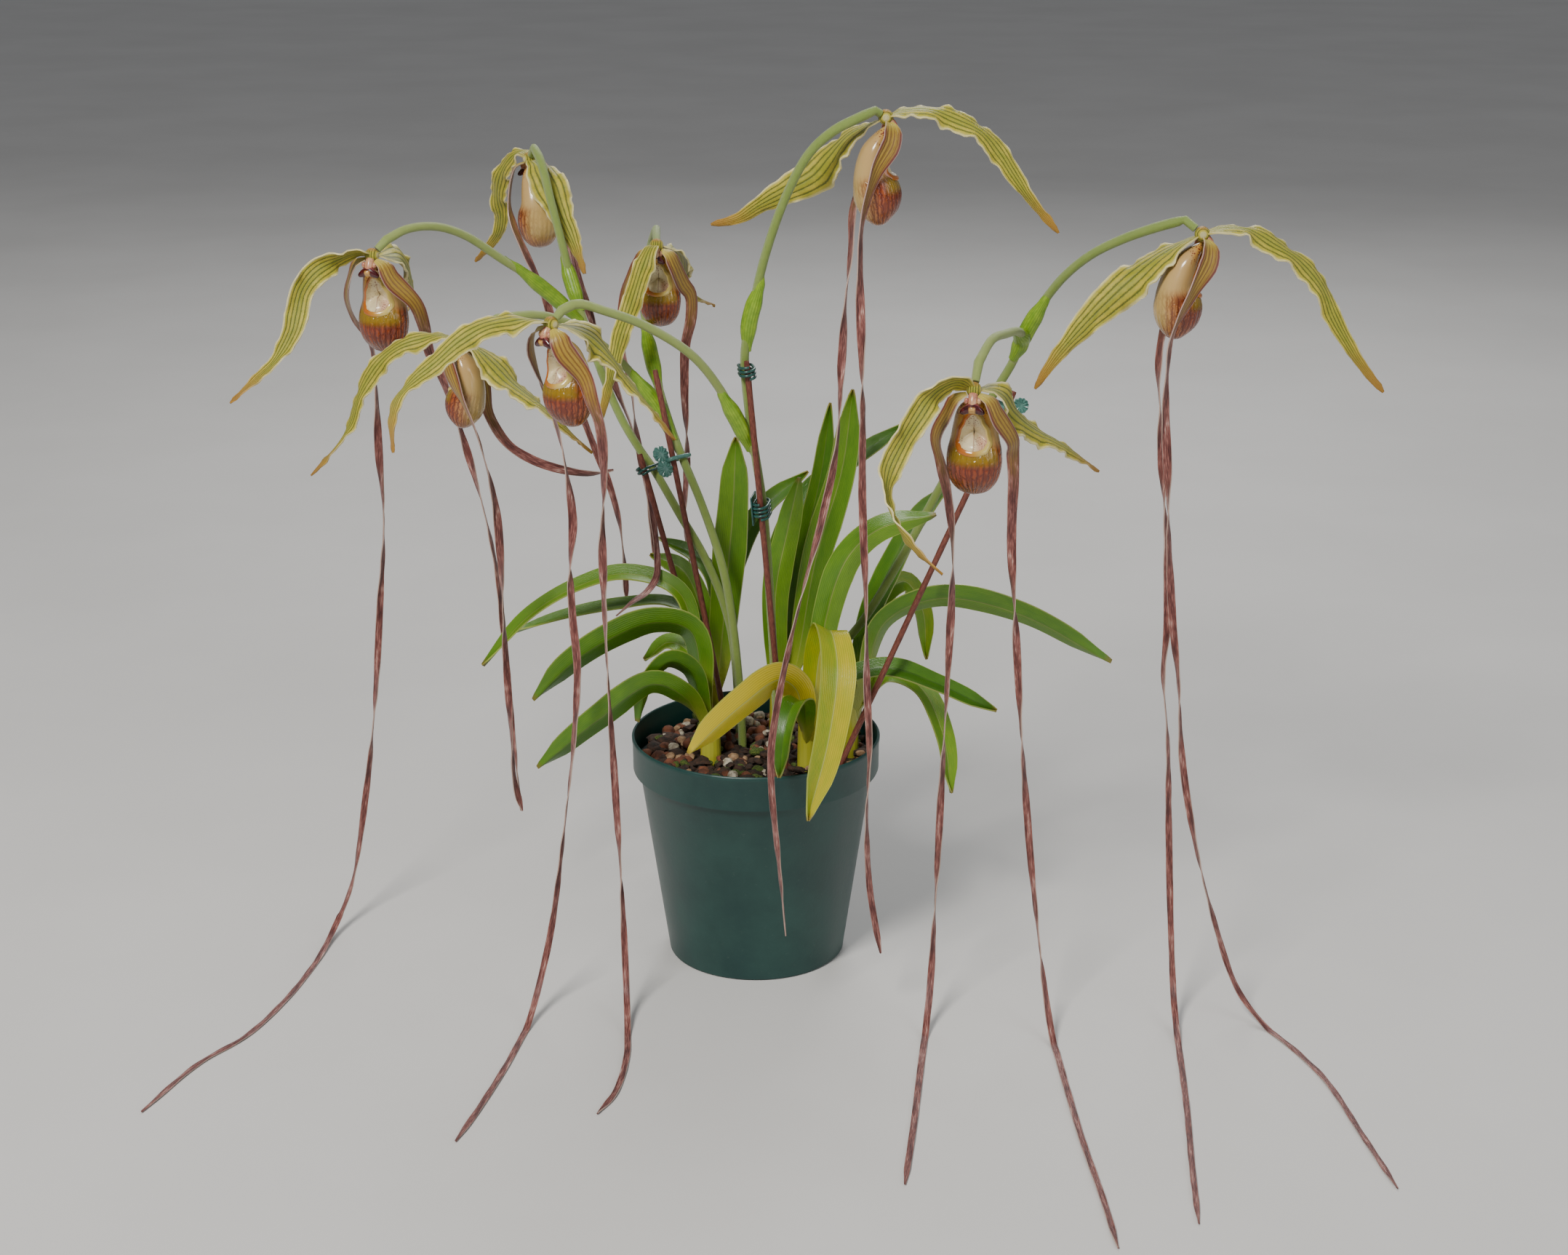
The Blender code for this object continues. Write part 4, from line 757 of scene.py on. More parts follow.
def bract_finish():
    """Bright green folded bracts with fine lines along them."""
    f = Finish("bract_skin", 0.36, Specular_IOR_Level=0.45, Coat_Weight=0.1, Coat_Roughness=0.25)
    vector, around = f.shape()[:2]
    patches = f.noise(f.scaled(vector, 3.0, 60.0), 2.0)
    colour = f.ramp(patches, [(0.3, (0.13, 0.27, 0.008)), (0.7, (0.27, 0.42, 0.018))])
    lines = stripes(f, around, 20.0, 2.0, 0.02, f.scaled(vector, 2.0, 30.0))
    colour = f.mix(f.times(lines, 0.35), colour, (0.06, 0.15, 0.005))
    f.bump(lines, 0.12)
    return f.done(colour)


def pouch_finish():
    """A waxy slipper: peach behind, olive below its mouth, and an orange-brown toe with dark ribs."""
    f = Finish("pouch_skin", 0.2, Specular_IOR_Level=0.5, Coat_Weight=0.3, Coat_Roughness=0.1)
    ahead, rise = f.shape()[1:]
    ribs_at, around = f.shape("ribs")[:2]
    patches = f.noise(f.place(), 90.0)
    front = f.calc("MULTIPLY_ADD", f.calc("SUBTRACT", patches, 0.5), 0.3, ahead)
    colour = f.ramp(front, [(0.14, (0.50, 0.34, 0.12)), (0.34, (0.44, 0.19, 0.06)),
                            (0.56, (0.33, 0.075, 0.018)), (1.0, (0.25, 0.042, 0.008))])
    low = f.soft(rise, 0.22, 0.05)
    colour = f.mix(f.times(low, 0.4), colour, (0.44, 0.14, 0.03))
    ribs = stripes(f, around, TOE_RIBS, 2.2, 0.03, f.scaled(ribs_at, 3.0, 3.0))
    net = f.soft(f.cells(f.scaled(ribs_at, 34.0, 10.0), 1.0), 0.16, 0.02)
    lines = f.calc("MAXIMUM", ribs, f.times(net, 0.7))
    strength = f.times(f.soft(front, -0.10, 0.50), f.soft(rise, 0.58, 0.42))
    colour = f.mix(f.times(f.times(lines, strength), 0.9), colour, (0.085, 0.006, 0.003))
    lip = f.times(f.times(f.soft(rise, 0.28, 0.37), f.soft(rise, 0.52, 0.44)), f.soft(ahead, 0.62, 0.82))
    colour = f.mix(f.times(lip, 0.9), colour, (0.26, 0.165, 0.006))
    colour = f.mix(f.times(f.soft(rise, 0.42, 0.54), 0.85), colour, (0.52, 0.36, 0.14))
    shoulder = f.times(f.soft(rise, 0.44, 0.56), f.soft(ahead, 0.62, 0.90))
    flush = f.ramp(patches, [(0.4, (0.52, 0.22, 0.02)), (0.65, (0.62, 0.44, 0.12))])
    colour = f.mix(f.times(shoulder, 0.9), colour, flush)
    apex = f.times(f.soft(rise, 0.70, 0.78), f.soft(f.cells(f.place(), 700.0, "F1"), 0.42, 0.24))
    colour = f.mix(f.times(apex, f.soft(ahead, 0.55, 0.8)), colour, (0.14, 0.006, 0.016))
    f.bump(f.calc("ADD", f.times(f.times(lines, strength), -0.6), f.times(patches, 0.3)), 0.5)
    return f.done(colour)


def lining_finish():
    """The ivory lobes inside the slipper's mouth: fine maroon dots, dense at the top and at one side."""
    f = Finish("pouch_lining", 0.3, Specular_IOR_Level=0.45, Coat_Weight=0.2, Coat_Roughness=0.15)
    rise = f.shape()[2]
    beside = f.shape("ribs")[1]
    spots = f.soft(f.cells(f.place(), 1000.0, "F1"), 0.38, 0.22)
    dense = f.soft(f.noise(f.place(), 160.0), 0.42, 0.7)
    top = f.soft(rise, 0.60, 0.72)
    # One side of the lobes is pink, partly its own colour and partly painted shade; its dots are denser
    # there too.
    pink_and_shaded_side = f.times(f.soft(beside, 0.50, 0.56), f.soft(rise, 0.60, 0.50))
    crowded = f.calc("MAXIMUM", top, f.times(pink_and_shaded_side, 0.8))
    share = f.times(spots, f.calc("MAXIMUM", f.times(dense, 0.8), crowded))
    colour = f.ramp(f.noise(f.place(), 120.0), [(0.3, (0.62, 0.50, 0.28)), (0.7, (0.74, 0.66, 0.42))])
    colour = f.mix(f.times(pink_and_shaded_side, 0.55), colour, (0.50, 0.20, 0.15))
    # Painted shade: a dark line along the crease where the two lobes meet.
    crease = f.soft(f.calc("ABSOLUTE", f.calc("SUBTRACT", beside, 0.505)), 0.007, 0.001)
    colour = f.mix(f.times(crease, 0.6), colour, (0.26, 0.09, 0.06))
    return f.done(f.mix(share, colour, (0.16, 0.010, 0.022)))


def rim_finish():
    """The slipper's rolled rim: orange at one side, cream-yellow at the other."""
    f = Finish("pouch_rim", 0.22, Specular_IOR_Level=0.5, Coat_Weight=0.3, Coat_Roughness=0.1)
    beside = f.shape("ribs")[1]
    side = f.calc("MULTIPLY_ADD", f.noise(f.place(), 220.0), 0.12, f.soft(beside, 0.42, 0.62))
    colour = f.ramp(side, [(0.1, (0.42, 0.12, 0.012)), (0.5, (0.50, 0.25, 0.03)),
                           (0.9, (0.60, 0.46, 0.13))])
    return f.done(colour)


def staminode_finish():
    """The dark maroon shield over the mouth, with a cream to orange knob."""
    f = Finish("staminode_skin", 0.22, Specular_IOR_Level=0.5, Coat_Weight=0.4, Coat_Roughness=0.08)
    across, rise = f.shape()[1:]
    centre = f.edge(across)
    colour = f.ramp(f.noise(f.place(), 500.0), [(0.3, (0.020, 0.0015, 0.003)), (0.7, (0.085, 0.006, 0.009))])
    knob = f.times(f.soft(centre, 0.32, 0.16), f.soft(rise, 0.72, 0.50))
    colour = f.mix(knob, colour, (0.62, 0.34, 0.08))
    colour = f.mix(f.times(f.soft(rise, 0.80, 0.95), 0.6), colour, (0.34, 0.09, 0.09))
    return f.done(colour)


def column_finish():
    """The pinkish-cream column with fine maroon specks."""
    f = Finish("column_skin", 0.3, Specular_IOR_Level=0.45, Coat_Weight=0.2, Coat_Roughness=0.12)
    specks = f.soft(f.cells(f.place(), 1100.0, "F1"), 0.34, 0.18)
    colour = f.ramp(f.noise(f.place(), 300.0), [(0.35, (0.40, 0.12, 0.09)), (0.65, (0.58, 0.34, 0.17))])
    return f.done(f.mix(f.times(specks, 0.7), colour, (0.20, 0.02, 0.035)))


def plain_grain(name, dark, light, roughness, scale, depth, **sockets):
    """A finish whose colour and fine relief vary with one noise through the piece."""
    f = Finish(name, roughness, **sockets)
    grain = f.noise(f.place(), scale, 6.0)
    f.bump(grain, depth)
    return f.done(f.ramp(grain, [(0.35, dark), (0.65, light)]))


def cane_finish():
    """Thin reddish-brown split cane with grain along it."""
    f = Finish("stake_cane", 0.5, Specular_IOR_Level=0.35)
    vector = f.shape()[0]
    grain = f.noise(f.scaled(vector, 9.0, 60.0), 3.0, 5.0)
    colour = f.ramp(grain, [(0.3, (0.06, 0.016, 0.012)), (0.55, (0.17, 0.048, 0.032)),
                            (0.8, (0.30, 0.12, 0.07))])
    f.bump(grain, 0.2)
    return f.done(colour)


def pot_finish():
    """Dark teal-green moulded plastic, lightly dusted and scuffed."""
    f = Finish("pot_plastic", 0.42, Specular_IOR_Level=0.45)
    place = f.place()
    dust = f.noise(place, 22.0, 6.0, 0.65)
    fine = f.noise(place, 420.0, 3.0)
    colour = f.ramp(dust, [(0.35, (0.006, 0.038, 0.034)), (0.7, (0.018, 0.065, 0.055))])
    colour = f.mix(f.times(f.soft(fine, 0.62, 0.8), 0.2), colour, (0.09, 0.12, 0.10))
    f.bump(fine, 0.05)
    return f.done(colour, f.calc("MULTIPLY_ADD", dust, 0.3, 0.26))


# Blooms

def bloom_frame(spec):
    forward = heading(spec["facing"])
    across = Vector((-forward.y, forward.x, 0.0))
    turn = Matrix((forward, across, UP)).transposed()
    return metres(spec["top"]), forward, across, turn, spec["size"]


def crimp(key, along, across, fade):
    """The fine frill of a sepal's margin, stronger towards the edge."""
    seed = ord(key) * 1.7
    ripple = math.sin(62 * along + seed) + 0.6 * math.sin(101 * along + 2.1 * seed)
    return 1.4 * fade * across * abs(across) ** 3 * ripple


def sepal(name, spec, design, start, rolls, widths, rows, cols, lift):
    """A sepal along its midrib: it rolls over one stretch of its way out."""
    turn, lean, midrib = design
    route = smooth_route([spec["top"]] + midrib, rows)
    sides = rolled_sides(route, start, lambda along: math.radians(turn) * ease(along, *rolls), lean)
    return blade(name, route, sides, lambda along: spec["size"] * eased(widths, along), cols, lift,
                 SEPAL_THICK)


def dorsal_sepal(key, spec, start):
    """The upper sepal: it arches over the pouch and droops to a narrow, turning tip."""
    waves = 4 + 0.5 * (ord(key) % 3)
    widths = [(0, 2.6), (0.06, 6.2), (0.15, 7.6), (0.32, 7.2), (0.5, 6.9), (0.64, 5.2), (0.78, 3.8),
              (0.9, 2.6), (0.97, 1.8), (1, 0.6)]

    def lift(along, across):
        fade = min(1.0, along * 5) * (1.2 - along)
        keel = -0.35 * math.exp(-(across / 0.09) ** 2) * fade
        wave = 1.9 * across * math.sin(waves * math.tau * along) * fade
        return -2.2 * across ** 2 * fade + wave + keel + crimp(key, along, across, fade)

    return sepal("dorsal", spec, DORSALS[key], start, (0.45, 0.85), widths, 72, 14, lift)


def synsepal(key, spec, start):
    """The fused lower sepals: one broad blade that droops behind the pouch."""
    waves = 3.5 + 0.5 * (ord(key) % 2)
    widths = [(0, 2.6), (0.08, 6.5), (0.2, 12.0), (0.33, 13.5), (0.5, 10.0), (0.64, 7.5), (0.78, 4.6),
              (0.9, 2.7), (0.97, 1.8), (1, 0.6)]

    def lift(along, across):
        fade = min(1.0, along * 3) * (1.25 - along)
        keels = -0.3 * math.exp(-((abs(across) - 0.3) / 0.06) ** 2) * fade
        wave = 2.2 * across ** 3 * math.sin(waves * math.tau * along + 1) * fade
        return -3.0 * across ** 2 * fade + wave + keels + crimp(key, along, across, fade)

    return sepal("synsepal", spec, SYNSEPALS[key], start, (0.2, 0.6), widths, 64, 22, lift)


def shield(co):
    """A kidney-shaped staminode: a notch below, drooping wings and a knob at its centre."""
    wing = abs(co.y)
    knob = math.exp(-(co.y / 0.22) ** 2 - ((co.z + 0.1) / 0.5) ** 2)
    co.z += 0.25 * math.cos(wing * math.pi) - 0.35 * wing ** 2
    co.x = co.x * (0.75 + 0.25 * wing) + 0.75 * knob
    return co


def sepals(key, spec):
    """Cup, both sepals, and the column with its staminode over the pouch's mouth."""
    top, forward, across, turn, size = bloom_frame(spec)
    tip = top + (forward * 6.0 - UP * 9.5) * size * MM
    column = rod("column", smooth_route([top / MM, (top.lerp(tip, 0.5) + forward * MM) / MM, tip / MM], 10),
                 lambda along: 2.4 - 0.2 * along + 0.3 * math.sin(along * math.pi), 16)
    pieces = [
        painted(dorsal_sepal(key, spec, across), sepal_tissue),
        painted(synsepal(key, spec, -across), sepal_tissue),
        painted(ball("cup", spec["top"], (CUP_RADIUS,) * 3, turn), sepal_tissue),
        painted(column, column_skin),
        painted(ball("staminode", tip / MM, (2.3 * size, 6.8 * size, 3.0 * size), turn, 32, 20,
                     shape_of=shield), staminode_skin),
    ]
    for sign in (-1, 1):
        place = Vector(spec["top"]) + (forward * 4.5 + across * (sign * 3.4) - UP * 5.4) * size
        pieces.append(painted(ball("anther", place, (1.5, 1.3, 1.9), turn, 12, 8), column_skin))
    return shown(joined(f"sepals_{key}_waved", pieces), f"sepals_{key}")


def ring_at(along):
    """A pouch ring part-way down the rings, on a smooth curve through them."""
    last = len(POUCH_RINGS) - 1
    at = min(int(along), last - 1)
    share = along - at
    a, b, c, d = (POUCH_RINGS[min(max(at + step, 0), last)] for step in (-1, 0, 1, 2))
    values = []
    for p, q, r, s in zip(a, b, c, d):
        values.append(q + share / 2 * (r - p + share * (2 * p - 5 * q + 4 * r - s
                                                         + share * (3 * (q - r) + s - p))))
    return values


def ring_at_height(height):
    """The same, found by its height."""
    low, high = 0.0, len(POUCH_RINGS) - 1.0
    for _ in range(20):
        middle = (low + high) / 2
        if ring_at(middle)[0] > height:
            low = middle
        else:
            high = middle
    return ring_at(low)


def mouth_half(height):
    return eased([(-x, y) for x, y in MOUTH_OUTLINE], -height)


def ring_centre(height):
    _, back, front, _ = ring_at_height(height)
    return (back + front) / 2


def in_mouth(ahead, beside, height):
    return (MOUTH_LIP < height < MOUTH_TOP and abs(beside) < mouth_half(height)
            and ahead > ring_centre(height))


def skin_point(height, beside):
    """A point on the front of the pouch's skin, by its height and its distance to one side."""
    _, back, ahead, half = ring_at_height(height)
    reach = (ahead - back) / 2 * math.sqrt(max(0.0, 1 - min(1.0, abs(beside) / half) ** 2))
    return Vector(((back + ahead) / 2 + reach, beside, height))


def mouth_ring(grow, out):
    """A ring of places round the mouth's outline, grown or shrunk, and moved out of the skin."""
    middle = Vector((0, 0, (MOUTH_TOP + MOUTH_LIP) / 2))
    places = []
    for step in range(MOUTH_STEPS):
        angle = math.tau * step / MOUTH_STEPS
        share = (1 - math.cos(angle)) / 2
        height = MOUTH_TOP + (MOUTH_LIP - MOUTH_TOP) * share
        beside = math.copysign(mouth_half(height), math.sin(angle))
        skin = skin_point(height, beside)
        flat = Vector((skin.x, skin.y * grow, middle.z + (skin.z - middle.z) * (1 + (grow - 1) * 0.8)))
        if grow > 1:
            flat.x = skin_point(max(min(flat.z, MOUTH_TOP + 1.5), MOUTH_LIP - 2), flat.y).x
        places.append(flat + Vector((out, 0, 0)))
    return places


def pouch(key, spec):
    """The slipper: a thin shell, its rolled rim and the ivory lobes folded into its mouth."""
    top, _, _, turn, size = bloom_frame(spec)
    bands = len(POUCH_RINGS) - 1
    bm = bmesh.new()
    bmesh.ops.create_uvsphere(bm, u_segments=102, v_segments=56, radius=1.0)
    for vert in bm.verts:
        along = math.acos(max(-1.0, min(1.0, vert.co.z))) / math.pi * bands
        height, back, front, half = ring_at(along)
        if along < 0.5:
            height = min(height, -(CUP_RADIUS + GAP) / size)
        angle = math.atan2(vert.co.y, vert.co.x)
        rib = 0.16 * math.cos(TOE_RIBS * angle + math.pi) * ease(-height, 36, 42) * ease(60 + height, 0, 6)
        vert.co = Vector(((back + front) / 2 + ((front - back) / 2 + rib) * math.cos(angle),
                          (half + rib) * math.sin(angle), height))
    gone = [face for face in bm.faces if any(in_mouth(*vert.co) for vert in face.verts)]
    bmesh.ops.delete(bm, geom=gone, context="FACES")
    map_pouch(bm)
    bmesh.ops.recalc_face_normals(bm, faces=bm.faces)
    shell = thickened(painted(new_object("shell", bm), pouch_skin, pouch_lining), POUCH_THICK, -1.0, 1)
    rim = painted(ring_strip("rim", RIM_PROFILE), pouch_rim)
    lobes = painted(ring_strip("lobes", LOBE_PROFILE), pouch_lining)
    item = joined(f"pouch_{key}_slipper", [shell, rim, lobes])
    swing = Matrix.Rotation(-math.radians(spec["swing"]), 4, "Y")
    item.data.transform(Matrix.Translation(top) @ turn.to_4x4() @ swing @ Matrix.Scale(size, 4))
    return shown(item, f"pouch_{key}", 60)


def map_pouch(bm):
    """Two maps: the side view of the pouch, and the way round it with its height; then to metres."""
    shape = bm.loops.layers.uv.new("shape")
    ribs = bm.loops.layers.uv.new("ribs")
    ways = {}
    for vert in bm.verts:
        ahead = vert.co.x - ring_centre(vert.co.z)
        ways[vert] = math.atan2(vert.co.y, ahead) if math.hypot(vert.co.y, ahead) > 0.05 else None
    for face in bm.faces:
        known = [ways[vert] for vert in face.verts if ways[vert] is not None]
        behind = max(known) - min(known) > math.pi
        known = [way + math.tau if behind and way < 0 else way for way in known]
        for loop in face.loops:
            x, _, z = loop.vert.co
            way = ways[loop.vert]
            if way is None:
                way = sum(known) / len(known)
            elif behind and way < 0:
                way += math.tau
            rise = (z + POUCH_TALL) / POUCH_TALL
            loop[shape].uv = ((x + POUCH_BACK) / POUCH_DEPTH, rise)
            loop[ribs].uv = (way / math.tau + 0.5, rise)
    bmesh.ops.scale(bm, vec=(MM, MM, MM), verts=bm.verts)


def ring_strip(name, profile):
    """A band that follows the mouth's outline, ring by ring, and is given a thin wall."""
    bm = bmesh.new()
    rings = [mouth_ring(grow, out) for grow, out in profile]
    made = bmesh.ops.create_circle(bm, segments=len(rings[0]), radius=1.0)
    for vert, place in zip(made["verts"], rings[0]):
        vert.co = place
    edges = list(bm.edges)
    for places in rings[1:]:
        geom = bmesh.ops.extrude_edge_only(bm, edges=edges)["geom"]
        verts = [element for element in geom if isinstance(element, bmesh.types.BMVert)]
        edges = [element for element in geom if isinstance(element, bmesh.types.BMEdge)]
        for vert, place in zip(verts, places):
            vert.co = place
    map_pouch(bm)
    bmesh.ops.recalc_face_normals(bm, faces=bm.faces)
    return thickened(new_object(name, bm), RIM_THICK)


def petal(name, key, spec, spread, hanging):
    """A ribbon petal: broad beside the pouch, then a long narrow ribbon that turns as it hangs."""
    _, forward, across, _, size = bloom_frame(spec)
    sign = math.copysign(1.0, spread)
    near = [(3.5, sign * 9.5, -5), (3, sign * 13.5, -13), (-6, (spread + sign * 20) / 2, -29)]
    points = [Vector(spec["top"]) + across * (sign * (CUP_RADIUS - 0.8)) + forward * 1.6 - UP * 2.4]
    for ahead, beside, rise in near:
        points.append(Vector(spec["top"]) + (forward * ahead + across * beside + UP * rise) * size)
    points += [Vector(p) for p in hanging]
    length = length_of(points)
    route = smooth_route(points, round(length / 3.0))
    for place in route:
        place.z = max(place.z, FLOOR_LIFT * MM)

    def half_width(along):
        profile = [(0, 2.0), (9, 5.6), (18, 6.0), (34, 4.4), (55, 3.5), (90, 2.6), (160, 2.2),
                   (350, 1.9), (700, 1.3)]
        return blend(profile, along * length) * ease(1.01 - along, 0.0, 0.04) + 0.1

    def roll(along):
        wrap = sign * math.radians(22 + 45 * ease(along * length, 12, 60))
        begun = min(1.0, max(0.0, (along * length - 80) / 80))
        return wrap + begun * (length / 280 * math.tau * along + 0.6 * math.sin(ord(key) + sign + 9 * along))

    def lift(along, across):
        near_part = ease(70 - along * length, 0, 30)
        frill = 0.25 * math.sin(along * length / 4.1 + ord(key)) * across * abs(across)
        return (0.5 + 0.9 * near_part) * (across ** 2 - 0.4) * 0.6 + frill

    sides = rolled_sides(route, forward, roll)
    for row in range(1, len(route)):
        level = direction(route, row).cross(UP)
        lying = 1 - min(1.0, max(0.0, (route[row].z / MM - 4) / 40))
        if lying > 0 and level.length > 0.05:
            level = level.normalized() * math.copysign(1.0, level.dot(sides[row - 1]))
            own = sides[row] * math.copysign(1.0, level.dot(sides[row]))
            sides[row] = own.lerp(level, lying).normalized()
    item = blade(name + "_ribbon", route, sides, half_width, 6, lift, PETAL_THICK, scale=LONGEST)
    for vert in item.data.vertices:
        vert.co.z = max(vert.co.z, 0.1 * MM)
    return shown(painted(item, petal_tissue), name)


# Stems

def stalk(name, points, top, tone):
    """A stem or stalk, whose last straight piece stops just short of the bloom's cup."""
    away = (Vector(points[-1]) - Vector(top)).normalized()
    end = Vector(top) + away * (CUP_RADIUS + GAP)
    route = smooth_route(points, round(length_of(points) / 3.5)) + [metres(end)]

    def radius(along):
        return SCAPE_RADIUS + 0.25 * ease(along, 0.85, 0.97) - 0.45 * ease(along, 0.975, 1.0)

    return rod(name, route, radius, 16, tone)


def bract(points, tone):
    """A folded bract: a pointed spindle that sheathes the stalk, with a keel and a free tip."""
    away = (Vector(points[-1]) - Vector(points[-2])).normalized()
    tip = Vector(points[-1]) + away * 7 + UP
    route = smooth_route(list(points) + [tip], 26)

    def radius(along):
        return eased([(0, 2.7), (0.3, 4.7), (0.55, 4.7), (0.8, 2.9), (1, 0.25)], along)

    def keel(along, angle):
        fold = 0.13 * math.exp(-((angle + 1.5) / 0.25) ** 2)
        groove = 0.16 * math.exp(-((angle - 1.5) / 0.2) ** 2)
        return 1 + fold - groove

    return rod("bract", route, radius, 28, tone, keel)


def scape(name, spec):
    pieces = [stalk("stem", spec["main"], BLOOMS[spec["main_top"]]["top"], 0.45),
              stalk("stalk", spec["branch"], BLOOMS[spec["branch_top"]]["top"], 0.62)]
    for points in spec["bracts"]:
        pieces.append(bract(points, 0.95))
    for piece in pieces:
        painted(piece, bract_skin if piece.name.startswith("bract") else stem_skin)
    return shown(joined(name + "_stem", pieces), name)


def leaf(crown, half, lean, points, tone):
    """A strap leaf: channelled along its middle, folded at its foot, with a bluntly pointed tip."""
    centre = Vector((*crown, LEAF_FOOT))
    flat = Vector(points[-1]) - centre
    flat.z = 0
    flat.normalize()
    first = Vector(points[0])
    rise = centre.lerp(first, 0.45)
    rise.z = CROWN_END + 6 if first.z > 185 else CROWN_END
    route = smooth_route([centre + flat * 2.5, rise] + points, 56)

    def half_width(along):
        body = blend([(0, 0.38), (0.3, 0.8), (0.6, 1.0), (0.85, 0.8), (1, 0.45)], along)
        return half * body * math.sqrt(min(1.0, (1.002 - along) * 9))

    def lift(along, across):
        fold = 2.6 + 3.0 * ease(0.25 - along, 0, 0.25)
        wave = 0.35 * across * math.sin(along * 13 + half + points[0][0])
        return fold * (math.sqrt(across ** 2 + 0.015) - 0.12) + wave

    sides = rolled_sides(route, Vector((-flat.y, flat.x, 0)), lambda along: 0.0, lean)
    return blade("leaf", route, sides, half_width, 12, lift, LEAF_THICK, tone)


def fan(name, spec):
    x, y = spec["crown"]
    route = smooth_route([(x, y, CROWN_FOOT), (x, y, 130), (x, y, CROWN_END)], 12)
    pieces = [rod("crown", route, lambda along: CROWN_RADIUS * (0.85 - 0.15 * along), 20, 0.9)]
    for (half, lean, points), tone in zip(spec["leaves"], LEAF_TONES[name]):
        pieces.append(leaf((x, y), half, lean, points, tone))
    return shown(painted(joined(name + "_blades", pieces), leaf_blade), name, 60)


# Stakes and clips

def stake(name, ends):
    high, low = (Vector(p) for p in ends)
    route = smooth_route([low, low.lerp(high, 0.5), high], 40)

    def worn(along, angle):
        return 1 + 0.06 * math.sin(3 * angle + along * 5) + 0.03 * math.sin(along * 60)

    def radius(along):
        return STAKE_RADIUS * (1.0 if along < 0.985 else 0.8)

    item = rod(name + "_cane", route, radius, 14, 0.5, worn)
    return shown(painted(item, stake_cane), name)


def at_height(points, height):
    """The place and direction where a route of design points passes a height."""
    for low, high in zip(points, points[1:]):
        low, high = Vector(low), Vector(high)
        if low.z <= height <= high.z:
            return low.lerp(high, (height - low.z) / (high.z - low.z)), (high - low).normalized()
    raise ValueError("the route doesn't pass that height")


def held_pair(spec):
    """Where a clip meets its stem, the pair's direction, and how far and which way the stake lies."""
    stem, rise = at_height(SCAPES[spec["stem"]]["main"], spec["height"])
    top, bottom = STAKES[spec["stake"]]
    post, lean = at_height([bottom, top], spec["height"])
    axis = (rise + lean).normalized()
    apart = (post - stem) - axis * (post - stem).dot(axis)
    return stem, axis, apart.length, apart.normalized()


def wound(pair, radius, steps, turns=1, pitch=0.0):
    """A route round a stem and its stake: half circles joined by straight sides."""
    stem, axis, reach, out = pair
    points = []
    for i in range(turns * steps + 1):
        angle = math.tau * (i + 0.5) / steps
        x, y = math.cos(angle) * radius, math.sin(angle) * radius
        x += reach if x > 0 else 0
        climb = (i / steps - turns / 2) * pitch
        points.append((stem + out * x + axis.cross(out) * y + axis * climb) * MM)
    return points


def coil_clip(name, spec):
    """A plastic spring wound round the stem and its stake; one clip has a flat plate behind it."""
    pair = stem, axis, reach, out = held_pair(spec)
    radius = SCAPE_RADIUS + 2 * GAP + 0.2 + WIRE_RADIUS
    route = wound(pair, radius, WIRE_STEPS, spec["turns"], WIRE_PITCH)
    pieces = [rod("coil", route, lambda along: WIRE_RADIUS, 10)]
    if name in PLATED_CLIPS:
        side = axis.cross(out)
        side *= math.copysign(1.0, side.y)
        centre = stem + out * (reach / 2) + side * (radius + 0.5)
        bm = bmesh.new()
        frame_of = Matrix((out, side, axis)).transposed().to_4x4()
        bmesh.ops.create_cube(bm, size=1.0)
        bmesh.ops.scale(bm, vec=(13 * MM, 1.0 * MM, 17 * MM), verts=bm.verts)
        bmesh.ops.bevel(bm, geom=bm.edges[:], offset=0.35 * MM, affect="EDGES", segments=2, profile=0.5,
                        material=-1)
        bmesh.ops.transform(bm, matrix=Matrix.Translation(centre * MM) @ frame_of, verts=bm.verts)
        pieces.append(new_object("plate", bm))
    return shown(painted(joined(name + "_coil", pieces), clip_plastic), name)


def claw_clip(name, spec):
    """A spring claw: a loop round the stem and its stake, with two fluted shell grips."""
    pair = stem, axis, reach, out = held_pair(spec)
    route = wound(pair, SCAPE_RADIUS + 2 * GAP + CLAW_RADIUS, CLAW_STEPS)
    pieces = [rod("loop", route, lambda along: CLAW_RADIUS, 12)]
    for turn in (-1, 1):
        beyond = reach + STAKE_RADIUS + 2 * GAP + spec["grip"]
        centre = stem + out * beyond + axis * (turn * spec["grip"] * 0.9)
        bm = bmesh.new()
        bmesh.ops.create_grid(bm, x_segments=48, y_segments=10, size=1.0)
        for vert in bm.verts:
            angle = vert.co.x * math.pi
            away = (vert.co.y + 1) / 2
            flute = math.cos(12 * angle)
            reach_out = spec["grip"] * away * (1 + 0.07 * flute * away)
            vert.co = Vector((reach_out * math.cos(angle), reach_out * math.sin(angle),
                              0.9 * (1 - away ** 2) + 0.35 * flute * away)) * MM
        bmesh.ops.remove_doubles(bm, verts=bm.verts, dist=1e-6)
        frame_of = Matrix((axis, out, axis.cross(out))).transposed().to_4x4()
        bmesh.ops.transform(bm, matrix=Matrix.Translation(centre * MM) @ frame_of, verts=bm.verts)
        bmesh.ops.recalc_face_normals(bm, faces=bm.faces)
        pieces.append(thickened(new_object("grip", bm), GRIP_THICK))
    return shown(painted(joined(name + "_claw", pieces), claw_plastic), name)


# Pot and potting mix

